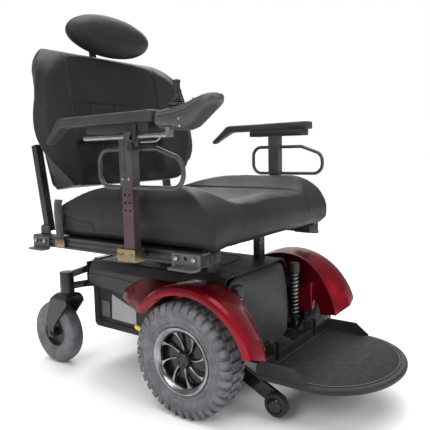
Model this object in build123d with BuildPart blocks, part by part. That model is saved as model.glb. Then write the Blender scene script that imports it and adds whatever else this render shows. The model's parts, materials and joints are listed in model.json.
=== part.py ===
from build123d import *
import os
from math import atan2, cos, degrees, hypot, radians, sin

# Heavy-duty front-wheel-drive power wheelchair.  Millimetres, +Z up, the chair faces -Y and +X is
# the occupant's left.  Pieces are drawn from the point on the floor midway between the drive
# wheels; save() writes them from the middle of the chair's footprint.

SIDES = (("right", -1), ("left", 1))
RUN_FIT = 0.05  # radial clearance of a pin or shaft that turns or slides
GAP = 1.0  # side clearance beside a turning piece

# Drive wheels
WHEEL_R = 178.0
TYRE_W = 100.0
TRACK = 614.0  # tyre middle to tyre middle
RIM_R = 104.0  # bright lip
RIM_SEAT_R = 98.0
RIM_WALL = 6.0
SPOKES = 8
SPOKE_W = 9.0
SPOKE_DISC_T = 10.0
HUB_R = 30.0
AXLE_R = 10.0

# Chassis
WALL = 6.0
BOX_HALF_W = 176.0  # outside of the folded chassis box
BOX_FRONT_Y = -60.0
FLOOR_Z = 130.0
RAIL_W = 24.0
RAIL_H = 40.0
RAIL_Z = 300.0  # underside of the two long chassis rails
RAIL_REAR_Y = 566.0
CROSS_W = 30.0

# Batteries and their tray
BATTERY_W = 166.0
BATTERY_L = 258.0
BATTERY_H = 205.0
TRAY_HALF_W = 188.0
TRAY_FRONT_Y = 262.0
TRAY_REAR_Y = 552.0
TRAY_Z = 146.0
TRAY_WALL = 4.0

# Shrouds
SHELL_T = 3.0
SHROUD_HALF_W = 205.0
SHROUD_TOP_Z = 402.0
SHROUD_REAR_Y = 560.0
HOOD_HALF_W = 178.0
HOOD_FRONT_Y = -138.0
HOOD_BOTTOM_Z = 165.0

# Fenders: an arch around a centre ahead of the axle
ARCH_Y = -30.0
ARCH_Z = 170.0
ARCH_R = 243.0
FENDER_T = 4.0
FENDER_IN_X = 243.0
FENDER_OUT_X = 362.0

# Drive units
GEARBOX_IN_X = 200.0
GEARBOX_OUT_X = 242.0
MOTOR_X = 214.0
MOTOR_R = 33.0
MOTOR_REAR_Y = 235.0
LEVER_Y = 222.0
LEVER_Z = 196.0

# Rear casters
CASTER_X = 257.0
SWIVEL_Y = 619.0
TRAIL = 64.0
CASTER_R = 119.0
CASTER_W = 60.0
CASTER_HUB_R = 56.0
BARREL_R = 26.0
BARREL_Z = 281.0
BARREL_H = 79.0
STEM_R = 12.0
FORK_T = 6.0
CROWN_T = 12.0
CASTER_AXLE_R = 6.0

# Anti-tip arms and their shock absorbers
PIVOT_Y = -40.0
PIVOT_Z = 150.0
PIVOT_R = 8.0
ARM_IN_X = 180.0
ARM_T = 12.0
ARM_W = 46.0
TIP_Y = -245.0
TIP_Z = 54.0
TIP_R = 37.0
TIP_W = 28.0
TIP_AXLE_R = 5.0
SHOCK_X = 187.0
SHOCK_Y = -101.0
SHOCK_TOP_Z = 388.0
COIL_R = 17.0
COIL_WIRE_R = 2.5
SHOCK_TUBE_R = 11.0
SHOCK_ROD_R = 7.0

# Footplate
FOOT_HINGE_Y = -180.0
FOOT_HINGE_Z = 200.0
FOOT_HINGE_X = 130.0  # middle of each knuckle
FOOT_PIN_R = 5.0
FOOT_HALF_W = 241.0
FOOT_REAR_Y = -200.0
FOOT_MID_Y = -350.0  # where the straight sides meet the rounded front
FOOT_FRONT_Y = -549.0
FOOT_Z = 132.0
FOOT_H = 18.0
FOOT_FLANGE_H = 55.0
MAT_DEPTH = 4.0

# Seat frame
POST_FRONT_X = 140.0
POST_REAR_X = 88.0
POST_FRONT_Y = 18.0
POST_REAR_Y = 430.0
POST_W = 38.0
POST_D = 26.0
POST_HOLE_R = 4.0
SEAT_RAIL_X = 370.0  # outer face
SEAT_RAIL_W = 38.0
SEAT_RAIL_Z = 478.0
SEAT_RAIL_H = 38.0
SEAT_RAIL_FRONT_Y = -110.0
SEAT_RAIL_REAR_Y = 643.0
RAIL_END_W = 82.0  # across the block at the front of each rail
CROSS_TUBE = 25.0
PAN_T = 4.0

# Seat cushion
CUSHION_HALF_W = 372.0
CUSHION_FRONT_Y = -156.0
CUSHION_REAR_Y = 524.0
CUSHION_DIP_Z = 640.0
BOLSTER_Z = 700.0

# Backrest, drawn on a plane that leans back from its hinge
BACK_LEAN = 9.0
BACK_HINGE_Y = 590.0
BACK_HINGE_Z = 535.0
CANE_X = 330.0
CANE_W = 26.0
CANE_TOP_V = 300.0
BACK_SHELL_T = 5.0
BACK_PAD_T = 71.0
BACK_BOLSTER_T = 125.0
BACK_BOTTOM_V = 128.0
BACK_TOP_V = 650.0
BACK_WIDE_V = 330.0
BACK_HALF_W = 442.0  # across the side bolsters
BACK_SHELL_HALF_W = 318.0
BACK_PIN_R = 7.0

# Headrest
HEAD_V = 703.0
HEAD_N = 98.0
HEAD_HALF_W = 211.0
HEAD_HALF_H = 86.0
HEAD_HALF_T = 56.0
HEAD_BAR_W = 30.0
HEAD_BAR_T = 8.0
HEAD_PIN_R = 5.0

# Armrests
ARM_X = 418.5  # middle of the posts
ARM_Y = 104.0
UPPER_POST_W = 33.0
UPPER_POST_D = 48.0
UPPER_POST_T = 3.0
UPPER_POST_Z = 697.0
PAD_TOP_Z = 905.0
PAD_T = 32.0
PLATE_T = 22.0
PAD_IN_X = 424.0
PAD_OUT_X = 480.0
PAD_TAIL_OUT_X = 456.0
PAD_FRONT_Y = -39.0
PAD_BREAK_Y = 350.0
PAD_TAIL_Y = 432.0
PAD_TAIL_DROP = 70.0
SLIDE_FIT = 0.5  # clearance round a square post in its sleeve
LOWER_POST_TOP_Z = 790.0
LOOP_TUBE_R = 6.5
LOOP_INSET = 7.0  # middle of the guard loop in from the post's outer face

# Controller on the right armrest
POD_X = -438.0
POD_HALF_W = 38.0
POD_REAR_Y = -44.0
POD_FRONT_Y = -233.0
POD_SEAT_Z = 857.0  # flat under the foot that the tube's end block carries
STICK_Y = -95.0
STICK_Z = 914.0  # centre that the stick tilts about
TUBE_X = -466.0
TUBE_Z = 838.0
TUBE_R = 7.0
CLAMP_Y = 46.0

HALF_TRACK = TRACK / 2
REAR_Y = SWIVEL_Y + TRAIL + CASTER_R
FOOTPRINT_Y = (REAR_Y + FOOT_FRONT_Y) / 2
ARM_PLATE_Z = PAD_TOP_Z - PAD_T - PLATE_T
SEAT_TOP_Z = SEAT_RAIL_Z + SEAT_RAIL_H
TIEDOWN_SPANS = ((SEAT_RAIL_FRONT_Y + 4, SEAT_RAIL_FRONT_Y + 106), (552.0, 640.0))
LOWER_POST_W = UPPER_POST_W - 2 * UPPER_POST_T - 2 * SLIDE_FIT
LOWER_POST_D = UPPER_POST_D - 2 * UPPER_POST_T - 2 * SLIDE_FIT

os.makedirs("parts", exist_ok=True)


def save(piece, name):
    """Label one sub-part and write it, placed from the middle of the chair's footprint."""
    placed = piece.part.moved(Location((0, -FOOTPRINT_Y, 0)))
    placed.label = name
    export_step(placed, f"parts/{name}.step")


def side_plane(x, side, y=0.0, z=0.0):
    """Plane at x whose normal points out from the chair: local x is Y and local y is Z."""
    return Plane(origin=(x, y, z), x_dir=(0, side, 0), z_dir=(side, 0, 0))


def back_plane(n=0.0, v=0.0):
    """Backrest plane, n forward of the canes and v up from the hinge: local x is X, y is up."""
    lean = radians(BACK_LEAN)
    origin = (
        0,
        BACK_HINGE_Y + v * sin(lean) - n * cos(lean),
        BACK_HINGE_Z + v * cos(lean) + n * sin(lean),
    )
    return Plane(origin=origin, x_dir=(1, 0, 0), z_dir=(0, -cos(lean), sin(lean)))


def block(x0, x1, y0, y1, z0, z1, mode=Mode.ADD):
    """Box between two corners, given in either order in X."""
    with Locations(((x0 + x1) / 2, (y0 + y1) / 2, (z0 + z1) / 2)):
        Box(abs(x1 - x0), abs(y1 - y0), abs(z1 - z0), mode=mode)


def rod(x0, x1, y, z, r, mode=Mode.ADD):
    """Round bar along X between two stations."""
    with Locations(Location(((x0 + x1) / 2, y, z), (0, 90, 0))):
        Cylinder(r, abs(x1 - x0), mode=mode)


# ---------------------------------------------------------------- drive wheels
def drive_tyre(name, side):
    middle = side * HALF_TRACK
    half = TYRE_W / 2
    tread = [(-half, 142), (-half + 1, 158), (-half + 12, WHEEL_R - 2)]
    outline = [(-36, RIM_SEAT_R), (-41, RIM_SEAT_R + 12)] + tread
    with BuildPart() as tyre:
        with BuildSketch(Plane.XZ):
            with BuildLine():
                left = [(middle + x, WHEEL_R + r) for x, r in outline]
                right = [(middle - x, WHEEL_R + r) for x, r in reversed(outline)]
                ThreePointArc(left[-1], (middle, 2 * WHEEL_R), right[0])
                Polyline(*right, *left)
            make_face()
        revolve(axis=Axis((0, 0, WHEEL_R), (1, 0, 0)))
    save(tyre, f"drive_tyre_{name}")


def drive_rim(name, side):
    hub_plane = side_plane(side * (HALF_TRACK + 20), side, 0, WHEEL_R)
    lip_x = 38.5
    window_r = RIM_SEAT_R - RIM_WALL - 6
    boss_r = HUB_R + 6
    with BuildPart() as rim:
        with BuildSketch(Plane.XZ):
            with BuildLine():
                outline = [
                    (-36, RIM_SEAT_R - RIM_WALL),
                    (-36, RIM_SEAT_R),
                    (lip_x, RIM_SEAT_R),
                    (lip_x, RIM_R),
                    (lip_x + 4, RIM_R - 2),
                    (lip_x, window_r),
                    (lip_x - 8, window_r),
                    (lip_x - 8, RIM_SEAT_R - RIM_WALL),
                ]
                Polyline(
                    *[(side * (HALF_TRACK + x), WHEEL_R + r) for x, r in outline], close=True
                )
            make_face()
        revolve(axis=Axis((0, 0, WHEEL_R), (1, 0, 0)))
        with BuildSketch(hub_plane):
            Circle(RIM_SEAT_R - RIM_WALL)
        extrude(amount=SPOKE_DISC_T)
        with BuildSketch(hub_plane):
            Circle(window_r)
            Circle(boss_r, mode=Mode.SUBTRACT)
            with PolarLocations(0, SPOKES):
                with Locations((window_r / 2, 0)):
                    Rectangle(window_r + 10, SPOKE_W, mode=Mode.SUBTRACT)
            fillet(vertices(), 4)
        extrude(amount=SPOKE_DISC_T, mode=Mode.SUBTRACT)
        rod(side * (HALF_TRACK - 24), side * (HALF_TRACK + 34), 0, WHEEL_R, HUB_R)
        rod(side * (HALF_TRACK + 28), side * (HALF_TRACK + 34), 0, WHEEL_R, HUB_R - 8, Mode.SUBTRACT)
        rod(side * (GEARBOX_IN_X + 4), side * (HALF_TRACK - 24), 0, WHEEL_R, AXLE_R)
    save(rim, f"drive_rim_{name}")


# ---------------------------------------------------------------- chassis
def base_frame():
    inner = BOX_HALF_W - WALL
    rail_out = BOX_HALF_W + RAIL_W
    bridge_out = BOX_HALF_W + RAIL_W / 2
    rail_top = RAIL_Z + RAIL_H
    with BuildPart() as frame:
        block(-BOX_HALF_W, BOX_HALF_W, BOX_FRONT_Y, TRAY_FRONT_Y, FLOOR_Z, FLOOR_Z + WALL)
        block(-BOX_HALF_W, BOX_HALF_W, BOX_FRONT_Y, BOX_FRONT_Y + WALL, FLOOR_Z, rail_top)
        for _, side in SIDES:
            block(side * inner, side * BOX_HALF_W, BOX_FRONT_Y, TRAY_FRONT_Y, FLOOR_Z, rail_top)
            block(side * BOX_HALF_W, side * rail_out, BOX_FRONT_Y, RAIL_REAR_Y, RAIL_Z, rail_top)
            bridge_y = (POST_REAR_Y - CROSS_W / 2, POST_REAR_Y + CROSS_W / 2)
            block(side * BOX_HALF_W, side * bridge_out, *bridge_y, rail_top, rail_top + CROSS_W)
            rod(
                side * inner,
                side * (ARM_IN_X + ARM_T + GAP + 3),
                PIVOT_Y,
                PIVOT_Z,
                PIVOT_R - RUN_FIT,
            )
            rod(
                side * (ARM_IN_X + ARM_T + GAP),
                side * (ARM_IN_X + ARM_T + GAP + 3),
                PIVOT_Y,
                PIVOT_Z,
                PIVOT_R + 4,
            )
        block(-inner, inner, *front_bar_y(), RAIL_Z, rail_top)
        block(-inner, inner, TRAY_FRONT_Y - CROSS_W, TRAY_FRONT_Y, RAIL_Z, rail_top)
        block(-BOX_HALF_W, BOX_HALF_W, *bridge_y, rail_top + CROSS_W / 2, rail_top + CROSS_W)
        block(-rail_out, rail_out, RAIL_REAR_Y, RAIL_REAR_Y + WALL, RAIL_Z - 4, SHROUD_TOP_Z - 10)
    save(frame, "base_frame")


def front_bar_y():
    return POST_FRONT_Y - CROSS_W / 2, POST_FRONT_Y + CROSS_W / 2


def battery_tray():
    with BuildPart() as tray:
        block(-TRAY_HALF_W, TRAY_HALF_W, TRAY_FRONT_Y, TRAY_REAR_Y, TRAY_Z, RAIL_Z)
        fillet(tray.edges().filter_by(Axis.X).group_by(Axis.Z)[0].sort_by(Axis.Y)[-1], 20)
        inner = TRAY_HALF_W - TRAY_WALL
        block(
            -inner,
            inner,
            TRAY_FRONT_Y + TRAY_WALL,
            TRAY_REAR_Y - TRAY_WALL,
            TRAY_Z + TRAY_WALL,
            RAIL_Z,
            Mode.SUBTRACT,
        )
    save(tray, "battery_tray")


def batteries():
    front = TRAY_FRONT_Y + TRAY_WALL + 3
    floor = TRAY_Z + TRAY_WALL
    with BuildPart() as pair:
        for _, side in SIDES:
            block(side * 4, side * (4 + BATTERY_W), front, front + BATTERY_L, floor, floor + BATTERY_H)
        fillet(pair.edges().filter_by(Axis.Z), 6)
        with GridLocations(BATTERY_W + 8, BATTERY_L - 60, 2, 2):
            with Locations((0, front + BATTERY_L / 2, floor + BATTERY_H + 4)):
                Cylinder(7, 8)
    save(pair, "batteries")


def power_module():
    floor = FLOOR_Z + WALL
    with BuildPart() as module:
        block(-75, 75, 50, 190, floor, floor + 55)
        fillet(module.edges().filter_by(Axis.Z), 8)
        with Locations((0, 120, floor + 59)):
            with GridLocations(20, 0, 6, 1):
                Box(6, 120, 8)
    save(module, "power_module")


def drive_motors():
    with BuildPart() as motors:
        for _, side in SIDES:
            block(side * BOX_HALF_W, side * GEARBOX_IN_X, -10, 55, 145, 215)
            block(side * GEARBOX_IN_X, side * GEARBOX_OUT_X, -52, 62, 126, 230)
        fillet(motors.edges().filter_by(Axis.X).group_by(Axis.X)[-1], 14)
        fillet(motors.edges().filter_by(Axis.X).group_by(Axis.X)[0], 14)
        for _, side in SIDES:
            with Locations(Location((side * MOTOR_X, (62 + MOTOR_REAR_Y) / 2, WHEEL_R), (90, 0, 0))):
                Cylinder(MOTOR_R, MOTOR_REAR_Y - 62)
            rod(
                side * (MOTOR_X + MOTOR_R - 8),
                side * (MOTOR_X + MOTOR_R + 10),
                LEVER_Y,
                LEVER_Z,
                5 - RUN_FIT,
            )
            rod(
                side * GEARBOX_IN_X,
                side * GEARBOX_OUT_X,
                0,
                WHEEL_R,
                AXLE_R + RUN_FIT,
                Mode.SUBTRACT,
            )
    save(motors, "drive_motors")


def freewheel_lever(name, side):
    hub_x = MOTOR_X + MOTOR_R + 3
    with BuildPart() as lever:
        with BuildSketch(side_plane(side * hub_x, side, LEVER_Y, LEVER_Z)):
            Circle(11)
            with Locations(Location((side * 24, 6), side * 14)):
                SlotOverall(60, 14)
            Circle(5, mode=Mode.SUBTRACT)
        extrude(amount=6)
        fillet(lever.faces().sort_by(Axis.X)[-1].edges(), 1)
    save(lever, f"freewheel_lever_{name}")


# ---------------------------------------------------------------- body shells
def shroud_section(inset):
    """Cross-section of the top cover, inset by a wall, as seen from the front."""
    half = SHROUD_HALF_W - inset
    top = SHROUD_TOP_Z - inset
    with BuildSketch(Plane.XZ) as section:
        with BuildLine():
            Polyline(
                (-half, 240),
                (half, 240),
                (half, top - 34),
                (half - 22, top),
                (-half + 22, top),
                (-half, top - 34),
                close=True,
            )
        make_face()
        fillet(section.vertices().group_by(Axis.Y)[-1], 14)
        fillet(section.vertices().group_by(Axis.Y)[1], 14)
    return section.sketch


def rear_shroud():
    length = SHROUD_REAR_Y - BOX_FRONT_Y
    rail_in = BOX_HALF_W - 2
    rail_out = BOX_HALF_W + RAIL_W + 2
    with BuildPart() as shroud:
        with BuildSketch(Plane.XZ.offset(-BOX_FRONT_Y)):
            add(shroud_section(0))
        extrude(amount=-length)
        with BuildSketch(Plane.YZ):
            with BuildLine():
                Polyline(
                    (BOX_FRONT_Y, 240),
                    (SHROUD_REAR_Y, 240),
                    (SHROUD_REAR_Y, 316),
                    (378, 293),
                    (300, 262),
                    (BOX_FRONT_Y, 262),
                    close=True,
                )
            make_face()
        extrude(amount=SHROUD_HALF_W, both=True, mode=Mode.SUBTRACT)
        fillet(shroud.edges().filter_by(Axis.X).group_by(Axis.Y)[-1].sort_by(Axis.Z)[-1], 12)
        with BuildSketch(Plane.XZ.offset(-BOX_FRONT_Y)):
            add(shroud_section(SHELL_T))
        extrude(amount=-(length - SHELL_T), mode=Mode.SUBTRACT)
        block(-120, 120, 470, 520, SHROUD_TOP_Z - 1.2, SHROUD_TOP_Z, Mode.SUBTRACT)
        for _, side in SIDES:
            wall_y = (SHROUD_REAR_Y - SHELL_T, SHROUD_REAR_Y)
            block(side * rail_in, side * rail_out, *wall_y, 240, RAIL_Z + RAIL_H + 2, Mode.SUBTRACT)
            for post_x, post_y in ((POST_FRONT_X, POST_FRONT_Y), (POST_REAR_X, POST_REAR_Y)):
                hole_y = (post_y - POST_D / 2 - 2, post_y + POST_D / 2 + 2)
                hole_x = (post_x - POST_W / 2 - 2, post_x + POST_W / 2 + 2)
                top = (SHROUD_TOP_Z - SHELL_T, SHROUD_TOP_Z)
                block(side * hole_x[0], side * hole_x[1], *hole_y, *top, Mode.SUBTRACT)
    save(shroud, "rear_shroud")


def hood(inset):
    """Bulged front cover, inset by a wall: an arc in plan with a sloped top."""
    rear = BOX_FRONT_Y - 2
    front = HOOD_FRONT_Y + inset
    half = HOOD_HALF_W - inset
    with BuildPart() as shape:
        with BuildSketch(Plane.XY.offset(HOOD_BOTTOM_Z)):
            with BuildLine():
                ThreePointArc((-half, rear), (0, front), (half, rear))
                Line((half, rear), (-half, rear))
            make_face()
        extrude(amount=SHROUD_TOP_Z - 4 - inset - HOOD_BOTTOM_Z)
        slope = Plane(origin=(0, front, 296 - inset / 2), x_dir=(1, 0, 0), z_dir=(0, -0.74, 0.67))
        split(bisect_by=slope, keep=Keep.BOTTOM)
    return shape.part


def front_shroud():
    outer = hood(0)
    inner = hood(SHELL_T)
    with BuildPart() as shroud:
        add(outer)
        add(inner, mode=Mode.SUBTRACT)
    save(shroud, "front_shroud")


def tail_lenses():
    rear = SHROUD_REAR_Y - 8
    with BuildPart() as lenses:
        for _, side in SIDES:
            block(side * 95, side * 178, rear - 26, rear, SHROUD_TOP_Z, SHROUD_TOP_Z + 5)
            block(side * 150, side * 172, TRAY_REAR_Y, TRAY_REAR_Y + 5, 205, 262)
        fillet(lenses.edges().filter_by(Axis.Y), 2)
    save(lenses, "tail_lenses")


def fender(name, side):
    start = radians(5)
    sweep_arc = 147
    down = (0, -sin(start), -cos(start))
    outline = [
        (FENDER_IN_X, 150),
        (FENDER_IN_X, ARCH_R - 8),
        (FENDER_IN_X + 14, ARCH_R - 2),
        (FENDER_IN_X + 60, ARCH_R),
        (FENDER_OUT_X - 16, ARCH_R - 3),
        (FENDER_OUT_X - 3, ARCH_R - 9),
        (FENDER_OUT_X, ARCH_R - 20),
    ]
    inside = [
        (FENDER_OUT_X - FENDER_T, ARCH_R - 20),
        (FENDER_OUT_X - FENDER_T - 14, ARCH_R - 3 - FENDER_T),
        (FENDER_IN_X + 60, ARCH_R - FENDER_T),
        (FENDER_IN_X + FENDER_T, ARCH_R - 8 - FENDER_T),
        (FENDER_IN_X + FENDER_T, 150),
    ]
    with BuildPart() as guard:
        plane = Plane(origin=(0, ARCH_Y, ARCH_Z), x_dir=(1, 0, 0), z_dir=down)
        with BuildSketch(plane):
            with BuildLine():
                Polyline(*[(side * x, r) for x, r in outline + inside], close=True)
            make_face()
        revolve(axis=Axis((0, ARCH_Y, ARCH_Z), (-1, 0, 0)), revolution_arc=sweep_arc)
        add(fender_pocket(side, 0))
        add(fender_pocket(side, FENDER_T), mode=Mode.SUBTRACT)
        add(fender_wedge(side, 0))
        add(fender_wedge(side, FENDER_T), mode=Mode.SUBTRACT)
        tip = Plane(origin=(side * FENDER_IN_X, 0, 194), z_dir=(-side * 0.371, 0, 0.928))
        split(bisect_by=tip, keep=Keep.TOP)
        rod(
            side * (FENDER_IN_X + FENDER_T),
            side * (FENDER_OUT_X + 20),
            0,
            WHEEL_R,
            WHEEL_R + 12,
            Mode.SUBTRACT,
        )
    save(guard, f"fender_{name}")


def fender_pocket(side, inset):
    """Raised box with a sloped roof on the fender's inner wall, hollow from the wheel side."""
    reach = 38
    with BuildPart() as pocket:
        with BuildSketch(side_plane(side * (FENDER_IN_X + 2 * inset), -side)):
            with BuildLine():
                profile = [
                    (-150 + inset, 212 + inset),
                    (-74 - inset, 206 + inset),
                    (-74 - inset, 318 - inset),
                    (-150 + inset, 338 - inset),
                ]
                Polyline(*[(-side * y, z) for y, z in profile], close=True)
            make_face()
        extrude(amount=reach + inset, taper=6)
    return pocket.part


def fender_wedge(side, inset):
    """Faceted fairing that runs back from the arch to the shroud's side."""
    inner = SHROUD_HALF_W
    with BuildPart() as wedge:
        with BuildSketch(side_plane(side * inner, side)):
            with BuildLine():
                profile = [
                    (132 + inset, 268 + inset),
                    (196, 272 + inset),
                    (376 - 2 * inset, 290 + inset),
                    (372 - 2 * inset, 308 - inset),
                    (318, 352 - inset),
                    (60, 392 - inset),
                    (60, 330),
                ]
                Polyline(*[(side * y, z) for y, z in profile], close=True)
            make_face()
        extrude(amount=FENDER_OUT_X - inner)
        corner = Plane(
            origin=(side * (inner + 6 - inset), 376, 0), x_dir=(0, 0, 1), z_dir=(side * 0.86, 0.52, 0)
        )
        split(bisect_by=corner, keep=Keep.BOTTOM)
        roof = Plane(
            origin=(side * (inner + 8), 330, 352 - inset), x_dir=(0, 1, 0), z_dir=(side * 0.3, 0.1, 0.95)
        )
        split(bisect_by=roof, keep=Keep.BOTTOM)
    return wedge.part


# ---------------------------------------------------------------- shock absorbers and anti-tips
def shock_bodies():
    rail_top = RAIL_Z + RAIL_H
    cap_z = SHOCK_TOP_Z - 34
    with BuildPart() as bodies:
        for _, side in SIDES:
            with Locations((side * SHOCK_X, SHOCK_Y, (cap_z + SHOCK_TOP_Z) / 2)):
                Cylinder(COIL_R + 3, SHOCK_TOP_Z - cap_z)
        fillet(bodies.edges().filter_by(GeomType.CIRCLE).group_by(Axis.Z)[-1], 10)
        for _, side in SIDES:
            with Locations((side * SHOCK_X, SHOCK_Y, (cap_z + 262) / 2)):
                Cylinder(SHOCK_TUBE_R, cap_z - 262)
            arm_x = (side * 186, side * 196)
            block(*arm_x, SHOCK_Y, BOX_FRONT_Y + 20, cap_z + 1, cap_z + 12)
            block(*arm_x, BOX_FRONT_Y + 2, BOX_FRONT_Y + 20, rail_top, cap_z + 1)
            with Locations((side * SHOCK_X, SHOCK_Y, 262)):
                Cylinder(
                    SHOCK_ROD_R + RUN_FIT,
                    80,
                    align=(Align.CENTER, Align.CENTER, Align.MIN),
                    mode=Mode.SUBTRACT,
                )
    save(bodies, "shock_bodies")


def shock_spring(name, side):
    """Coil spring over the shock absorber, one round wire along a helix."""
    low = 196.0
    high = SHOCK_TOP_Z - 34 - 1
    turns = 11
    pitch = (high - low - 2 * COIL_WIRE_R) / turns
    with BuildPart() as spring:
        with BuildLine() as coil:
            Helix(
                pitch,
                pitch * turns,
                COIL_R - COIL_WIRE_R,
                center=(side * SHOCK_X, SHOCK_Y, low + COIL_WIRE_R),
            )
        with BuildSketch(Plane(origin=coil.line @ 0, z_dir=coil.line % 0)):
            Circle(COIL_WIRE_R)
        sweep(path=coil.line, is_frenet=True)
    save(spring, f"shock_spring_{name}")


def shock_rod(name, side):
    with BuildPart() as shock:
        with Locations((side * SHOCK_X, SHOCK_Y, 160)):
            Cylinder(SHOCK_ROD_R, 150, align=(Align.CENTER, Align.CENTER, Align.MIN))
        with Locations((side * SHOCK_X, SHOCK_Y, 188)):
            Cylinder(COIL_R, 6, align=(Align.CENTER, Align.CENTER, Align.MIN))
        with Locations((side * SHOCK_X, SHOCK_Y, 166)):
            Box(16, 20, 16)
    save(shock, f"shock_rod_{name}")


def antitip_arm(name, side):
    reach = hypot(TIP_Y - PIVOT_Y, TIP_Z - PIVOT_Z)
    slope = degrees(atan2(TIP_Z - PIVOT_Z, side * (TIP_Y - PIVOT_Y)))
    middle = (side * (TIP_Y + PIVOT_Y) / 2, (TIP_Z + PIVOT_Z) / 2)
    out = ARM_IN_X + ARM_T
    with BuildPart() as arm:
        with BuildSketch(side_plane(side * ARM_IN_X, side)):
            with Locations(Location(middle, slope)):
                SlotCenterToCenter(reach, ARM_W)
            with Locations((side * PIVOT_Y, PIVOT_Z)):
                Circle(PIVOT_R, mode=Mode.SUBTRACT)
        extrude(amount=ARM_T)
        fillet(arm.faces().sort_by(Axis.X)[-1 if side > 0 else 0].outer_wire().edges(), 2)
        rod(side * out, side * (out + GAP), TIP_Y, TIP_Z, TIP_AXLE_R + 6)
        rod(side * out, side * (out + GAP + TIP_W), TIP_Y, TIP_Z, TIP_AXLE_R - RUN_FIT)
        rod(
            side * (out + GAP + TIP_W + GAP),
            side * (out + GAP + TIP_W + GAP + 3),
            TIP_Y,
            TIP_Z,
            TIP_AXLE_R + 4,
        )
        rod(side * out, side * (out + GAP + TIP_W + GAP), TIP_Y, TIP_Z, TIP_AXLE_R - RUN_FIT)
    save(arm, f"antitip_arm_{name}")


def antitip_wheel(name, side):
    near = ARM_IN_X + ARM_T + GAP
    with BuildPart() as wheel:
        rod(side * near, side * (near + TIP_W), TIP_Y, TIP_Z, TIP_R)
        fillet(wheel.edges().filter_by(GeomType.CIRCLE), 8)
        rod(side * (near + TIP_W - 3), side * (near + TIP_W), TIP_Y, TIP_Z, TIP_R - 12, Mode.SUBTRACT)
        rod(side * near, side * (near + TIP_W), TIP_Y, TIP_Z, TIP_AXLE_R, Mode.SUBTRACT)
    save(wheel, f"antitip_wheel_{name}")


# ---------------------------------------------------------------- rear casters
def caster_arms():
    plate_y = RAIL_REAR_Y + WALL
    with BuildPart() as arms:
        for _, side in SIDES:
            centre = Vector(side * CASTER_X, SWIVEL_Y, 0)
            for start_z, end_z, start_x in ((374, BARREL_Z + 62, 176), (312, BARREL_Z + 22, 172)):
                start = Vector(side * start_x, plate_y - 20, start_z)
                end = Vector(centre.X, centre.Y, end_z)
                with BuildSketch(Plane(origin=start, z_dir=end - start)):
                    Circle(13)
                extrude(amount=(end - start).length)
        split(bisect_by=Plane(origin=(0, plate_y, 0), z_dir=(0, 1, 0)), keep=Keep.TOP)
        for _, side in SIDES:
            with Locations((side * CASTER_X, SWIVEL_Y, BARREL_Z + BARREL_H / 2)):
                Cylinder(BARREL_R, BARREL_H)
        fillet(arms.edges().filter_by(GeomType.CIRCLE).group_by(Axis.Z)[-1], 4)
        for _, side in SIDES:
            with Locations((side * CASTER_X, SWIVEL_Y, BARREL_Z)):
                Cylinder(
                    STEM_R + RUN_FIT,
                    BARREL_H - 8,
                    align=(Align.CENTER, Align.CENTER, Align.MIN),
                    mode=Mode.SUBTRACT,
                )
    save(arms, "caster_arms")


def caster_fork(name, side):
    x = side * CASTER_X
    hub_y = SWIVEL_Y + TRAIL
    inner = CASTER_W / 2 + 5
    outer = inner + FORK_T
    crown_z = BARREL_Z - GAP
    plate = side_plane(side * (CASTER_X + outer), side)
    with BuildPart() as fork:
        with BuildSketch(plate):
            with BuildLine():
                Polyline(
                    (side * (SWIVEL_Y - 30), crown_z),
                    (side * (SWIVEL_Y + 30), crown_z),
                    (side * (SWIVEL_Y + 56), crown_z - 26),
                    (side * (hub_y + 22), CASTER_R + 44),
                    (side * (hub_y + 14), CASTER_R - 14),
                    (side * (hub_y - 14), CASTER_R - 14),
                    (side * (hub_y - 24), CASTER_R + 34),
                    (side * (SWIVEL_Y - 42), crown_z - 34),
                    close=True,
                )
            make_face()
        extrude(amount=-2 * outer)
        fillet(fork.edges().filter_by(Axis.Y).group_by(Axis.Z)[-1], 24)
        with BuildSketch(side_plane(side * (CASTER_X + inner), side)):
            with Locations((side * hub_y, crown_z - CROWN_T - 110)):
                Rectangle(400, 220)
        extrude(amount=-2 * inner, mode=Mode.SUBTRACT)
        with Locations((x, SWIVEL_Y, crown_z)):
            Cylinder(
                STEM_R, BARREL_H - 16, align=(Align.CENTER, Align.CENTER, Align.MIN)
            )
        rod(x - inner, x + inner, hub_y, CASTER_R, CASTER_AXLE_R - RUN_FIT)
        for end in (-1, 1):
            rod(x + end * outer, x + end * (outer + 4), hub_y, CASTER_R, 9)
            rod(x + end * (inner - 4), x + end * inner, hub_y, CASTER_R, 9)
    save(fork, f"caster_fork_{name}")


def caster_tyre(name, side):
    x = side * CASTER_X
    half = CASTER_W / 2
    hub_y = SWIVEL_Y + TRAIL
    with BuildPart() as tyre:
        with BuildSketch(Plane.XZ.offset(-hub_y)):
            with BuildLine():
                low = 2 * CASTER_R - (CASTER_R - CASTER_HUB_R)
                Polyline(
                    (x - half + 6, low + 22),
                    (x - half + 8, low),
                    (x + half - 8, low),
                    (x + half - 6, low + 22),
                )
                Spline(
                    (x + half - 6, low + 22),
                    (x + half, low + 38),
                    (x, 2 * CASTER_R),
                    (x - half, low + 38),
                    (x - half + 6, low + 22),
                )
            make_face()
        revolve(axis=Axis((0, hub_y, CASTER_R), (1, 0, 0)))
    save(tyre, f"caster_tyre_{name}")


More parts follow.
